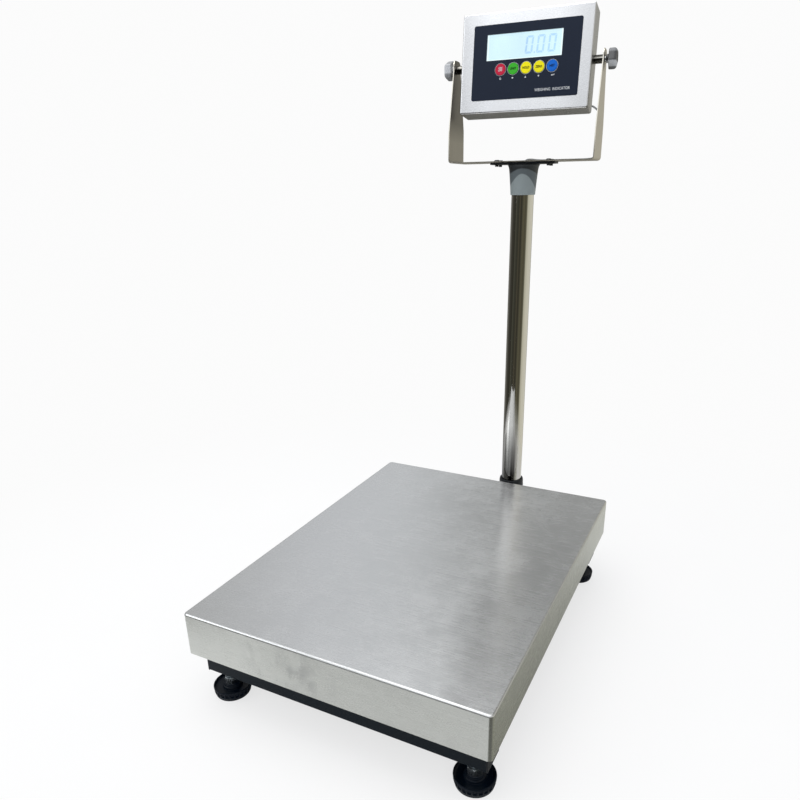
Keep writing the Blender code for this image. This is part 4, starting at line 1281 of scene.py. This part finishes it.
# =============================== the display unit's cable =====================================
BRACKET_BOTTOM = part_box("indicator_bracket")[0].z
BRACKET_FLOOR = BRACKET_BOTTOM / MM + 1.5  # upper face of the bracket's sheet
# Stations drawn on the display unit
CABLE_ON_CASE = [
    (60, 26, -50), (60, 36, -50), (63, 44, -50.5), (74, 48, -52), (92, 47, -54),
    (104, 44, -58),
]
# Stations drawn on the head: x and y from the column, z above the floor
CABLE_ON_HEAD = [
    (112, 42, 796), (114.4, 36, 776), (114.6, 32, BRACKET_FLOOR + 30),
    (114.2, 31.5, BRACKET_FLOOR + 12), (110.5, 32.5, BRACKET_FLOOR + 4.2),
    (100, 33.4, BRACKET_FLOOR + 1.7), (66, 33.6, BRACKET_FLOOR + 1.6),
    (40, 32.5, BRACKET_FLOOR + 1.6), (20, 25, BRACKET_FLOOR + 1.7),
    (9, 12.5, BRACKET_FLOOR + 2.8), (3, 4.2, BRACKET_FLOOR + 1.6),
    (0.8, 0.9, BRACKET_FLOOR - 4), (0, 0, BRACKET_FLOOR - 12),
]
# (radius, height) above the bracket's bottom
GROMMET = [
    (4.4, -0.7), (8.6, -0.7), (8.6, 1.65), (10.2, 1.65), (10.5, 1.9), (10.4, 2.3), (9.8, 2.6),
    (5.4, 2.7), (4.7, 2.4), (4.4, 1.9),
]


def spline(points, steps):
    """A smooth curve through the points, with so many steps between neighbours."""
    padded = [points[0] * 2 - points[1]] + points + [points[-1] * 2 - points[-2]]
    curve = []
    for i in range(1, len(padded) - 2):
        before, start, end, after = padded[i - 1:i + 3]
        for k in range(steps):
            t = k / steps
            curve.append(0.5 * (
                (start * 2) + (end - before) * t
                + (before * 2 - start * 5 + end * 4 - after) * t * t
                + (start * 3 - before - end * 3 + after) * t ** 3))
    return curve + [points[-1]]


def hose(path, radius, sides=14):
    """A round tube closed at both ends; its section is carried along without twisting."""
    bm = bmesh.new()
    rings = []
    across = None
    for i, point in enumerate(path):
        way = (path[min(i + 1, len(path) - 1)] - path[max(i - 1, 0)]).normalized()
        if across is None:
            across = way.orthogonal().normalized()
        else:
            across = (across - way * across.dot(way)).normalized()
        up = way.cross(across)
        ring = []
        for j in range(sides):
            angle = math.tau * j / sides
            offset = (across * math.cos(angle) + up * math.sin(angle)) * radius
            ring.append(bm.verts.new(point + offset))
        rings.append(ring)
    for ring, following in zip(rings, rings[1:]):
        bridge(bm, ring, following)
    bm.faces.new(rings[0])
    bm.faces.new(rings[-1])
    return bm


def placed(matrix, point):
    """A millimetre point of a drawing, in millimetres of the frame."""
    return (matrix @ (Vector(point) * MM)) / MM


def build_cable():
    path = [placed(CASE, point) for point in CABLE_ON_CASE]
    path += [placed(HEAD, point) for point in CABLE_ON_HEAD]
    cable = add_piece(hose(spline(path, steps=8), radius=1.5), "display_cable", "cable",
                      body=None, sharp=60, weighted=False)
    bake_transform(cable)
    add_piece(turned(GROMMET, sides=48), "cable_grommet", "cushion", "head",
              Matrix.Translation((POLE.x, POLE.y, BRACKET_BOTTOM)), sharp=40)


# =============================== stage, world, lights, camera =================================
def floor_material():
    """A pale sweep that fades to the backdrop and keeps soft contact shadows. Reflections see
    it with painted shade to the right and front, and not at all far out."""
    mat = Material("studio_floor")
    glossy, camera = mat.node("LightPath", out=("Is Glossy Ray", "Is Camera Ray"))
    point = mat.object_point()
    distance = mat.node("VectorMath", {0: point}, out="Value", operation="LENGTH")
    vanishing = distance.remap(over=(0.55, 0.85)) * glossy
    colour = mat.mix(mat.noise(scale=6.0).remap(), (0.885, 0.885, 0.88), (0.91, 0.91, 0.905))
    x, y, _ = mat.xyz(point)
    # painted shade beside the platter's right and front, seen only by reflections
    right = x.remap(over=(0.20, 0.24)) * y.remap(over=(-0.25, 0.30), to=(0.74, 0.34))
    right = right * glossy
    front = y.remap(over=(-0.33, -0.36), to=(0.0, 0.06)) * glossy
    colour = mat.mix(right, colour, (0.10, 0.10, 0.055))
    colour = mat.mix(front, colour, (0.10, 0.10, 0.07))
    mat.principled(Base_Color=colour, Roughness=0.85, Specular_IOR_Level=0.1)
    lit = Signal(mat, mat.tree.nodes["Principled BSDF"].outputs[0])
    white = distance.remap(over=(0.30, 1.15), to=(0.72, 1.0)) * camera
    shown = mat.mix_shader(white, lit, mat.node("Emission", {"Color": BACKDROP}))
    return mat.surface(mat.mix_shader(vanishing, shown, mat.node("BsdfTransparent")))


def build_floor():
    mesh = bpy.data.meshes.new("studio_floor")
    bm = bmesh.new()
    bmesh.ops.create_grid(bm, x_segments=8, y_segments=8, size=14.0)
    bm.to_mesh(mesh)
    bm.free()
    mesh.materials.append(floor_material())
    floor = bpy.data.objects.new("studio_floor", mesh)
    SCENE.collection.objects.link(floor)


# What reflections see round the room, as (turn, colour): 0.5 is ahead of the camera, more is to
# its right
LOW_ROOM = [
    (0.0, (0.10, 0.095, 0.065)), (0.03, (0.045, 0.042, 0.03)), (0.06, (0.05, 0.048, 0.036)),
    (0.085, (0.09, 0.08, 0.055)), (0.11, (0.045, 0.044, 0.033)), (0.16, (0.05, 0.05, 0.038)),
    (0.19, (0.085, 0.085, 0.065)), (0.22, (0.035, 0.034, 0.026)), (0.32, (0.06, 0.058, 0.047)),
    (0.40, (0.20, 0.195, 0.18)), (0.50, (0.19, 0.19, 0.17)), (0.57, (0.30, 0.29, 0.25)),
    (0.62, (0.62, 0.60, 0.52)), (0.66, (0.74, 0.72, 0.63)), (0.78, (0.70, 0.685, 0.58)),
    (0.855, (0.56, 0.545, 0.44)), (0.885, (0.13, 0.125, 0.085)), (0.93, (0.085, 0.08, 0.055)),
    (0.965, (0.12, 0.11, 0.07)), (1.0, (0.10, 0.095, 0.065)),
]
HIGH_ROOM = [
    (0.0, grey(1.15)), (0.05, (1.30, 1.33, 1.35)), (0.20, (1.30, 1.33, 1.36)),
    (0.27, grey(0.80)), (0.40, (0.56, 0.56, 0.545)), (0.448, (0.60, 0.60, 0.585)),
    (0.464, (0.84, 0.85, 0.875)), (0.499, (0.80, 0.815, 0.82)), (0.515, (0.43, 0.435, 0.42)),
    (0.60, (0.40, 0.395, 0.37)), (0.66, (0.62, 0.60, 0.54)), (0.80, (0.75, 0.74, 0.69)),
    (1.0, grey(1.15)),
]
CEILING = (1.25, 1.25, 1.23)
# Shares of the high room and of the ceiling, by the upward part of the direction
HIGH_SHARE = [(0.0, grey(0.0)), (0.10, grey(0.0)), (0.26, grey(1.0)), (1.0, grey(1.0))]
CEILING_SHARE = [(0.0, grey(0.0)), (0.88, grey(0.0)), (0.95, grey(1.0)), (1.0, grey(1.0))]


def build_world():
    """Reflections see the room, other light is an even glow, the camera sees the backdrop."""
    world = bpy.data.worlds.new("studio")
    SCENE.world = world
    world.use_nodes = True
    world.node_tree.nodes.clear()
    graph = Graph(world.node_tree)
    x, y, z = graph.xyz(graph.node("TexCoord", out="Generated"))
    cosine = math.cos(CAMERA_YAW)
    sine = math.sin(CAMERA_YAW)
    right = x * cosine + y * sine
    ahead = x * -sine + y * cosine
    turn = graph.math("ARCTAN2", right, ahead) / math.tau + 0.5
    low = graph.ramp(turn, LOW_ROOM)
    high = graph.ramp(turn, HIGH_ROOM)
    room = graph.mix(graph.ramp(z, HIGH_SHARE), low, high)
    room = graph.mix(graph.ramp(z, CEILING_SHARE), room, CEILING)
    glossy, camera = graph.node("LightPath", out=("Is Glossy Ray", "Is Camera Ray"))
    reflected = graph.node("Background", {"Color": room})
    soft = graph.node("Background", {"Color": (0.93, 0.95, 1.0), "Strength": 0.80})
    plain = graph.node("Background", {"Color": BACKDROP})
    lighting = graph.mix_shader(glossy, soft, reflected)
    output = graph.tree.nodes.new("ShaderNodeOutputWorld")
    graph.feed(output.inputs["Surface"], graph.mix_shader(camera, lighting, plain))


def add_softbox(name, at, look_at, size, watts, colour, specular):
    """An area light the camera does not see; size is (width, height) in metres."""
    light = bpy.data.lights.new(name, "AREA")
    light.shape = "RECTANGLE"
    light.size, light.size_y = size
    light.energy = watts
    light.color = colour
    light.specular_factor = specular
    obj = bpy.data.objects.new(name, light)
    obj.location = at
    obj.rotation_mode = "QUATERNION"
    obj.rotation_quaternion = (Vector(at) - Vector(look_at)).to_track_quat("Z", "Y")
    SCENE.collection.objects.link(obj)
    obj.visible_camera = False


def build_lights():
    add_softbox("overhead_softbox", at=(-0.3, -0.2, 2.6), look_at=(0, 0, 0.1), size=(2.2, 2.2),
                watts=34, colour=(1.0, 0.995, 0.98), specular=0.25)
    add_softbox("left_softbox", at=(-1.9, -1.5, 1.5), look_at=(0, 0, 0.4), size=(1.2, 1.6),
                watts=10, colour=(0.97, 0.985, 1.0), specular=0.3)


def build_camera():
    data = bpy.data.cameras.new("photo_camera")
    camera = bpy.data.objects.new("photo_camera", data)
    SCENE.collection.objects.link(camera)
    level_right = Vector((math.cos(CAMERA_YAW), math.sin(CAMERA_YAW), 0))
    level_up = level_right.cross(CAMERA_FORWARD).normalized()
    cosine = math.cos(CAMERA_ROLL)
    sine = math.sin(CAMERA_ROLL)
    right = (cosine * level_right + sine * level_up).normalized()
    up = (-sine * level_right + cosine * level_up).normalized()
    rotation = Matrix((right, up, -CAMERA_FORWARD.normalized())).transposed()
    camera.matrix_world = Matrix.Translation(CAMERA_AT) @ rotation.to_4x4()
    data.sensor_width = SENSOR_WIDTH
    data.lens = FOCAL_LENGTH
    data.shift_x, data.shift_y = CAMERA_SHIFT
    data.clip_start = 0.01
    data.clip_end = 100
    SCENE.camera = camera
    SCENE.view_settings.view_transform = "Standard"
    SCENE.view_settings.look = "None"
    SCENE.view_settings.exposure = 0.0
    SCENE.view_settings.gamma = 1.0


dress_frame()
build_platter()
build_column_tube()
build_socket_collar()
build_column_head()
build_feet()
build_knobs()
build_digits()
build_key_rings()
build_legends()
build_key_marks()
build_cover_screws()
build_column_bolts()
build_cable()
build_floor()
build_world()
build_lights()
build_camera()
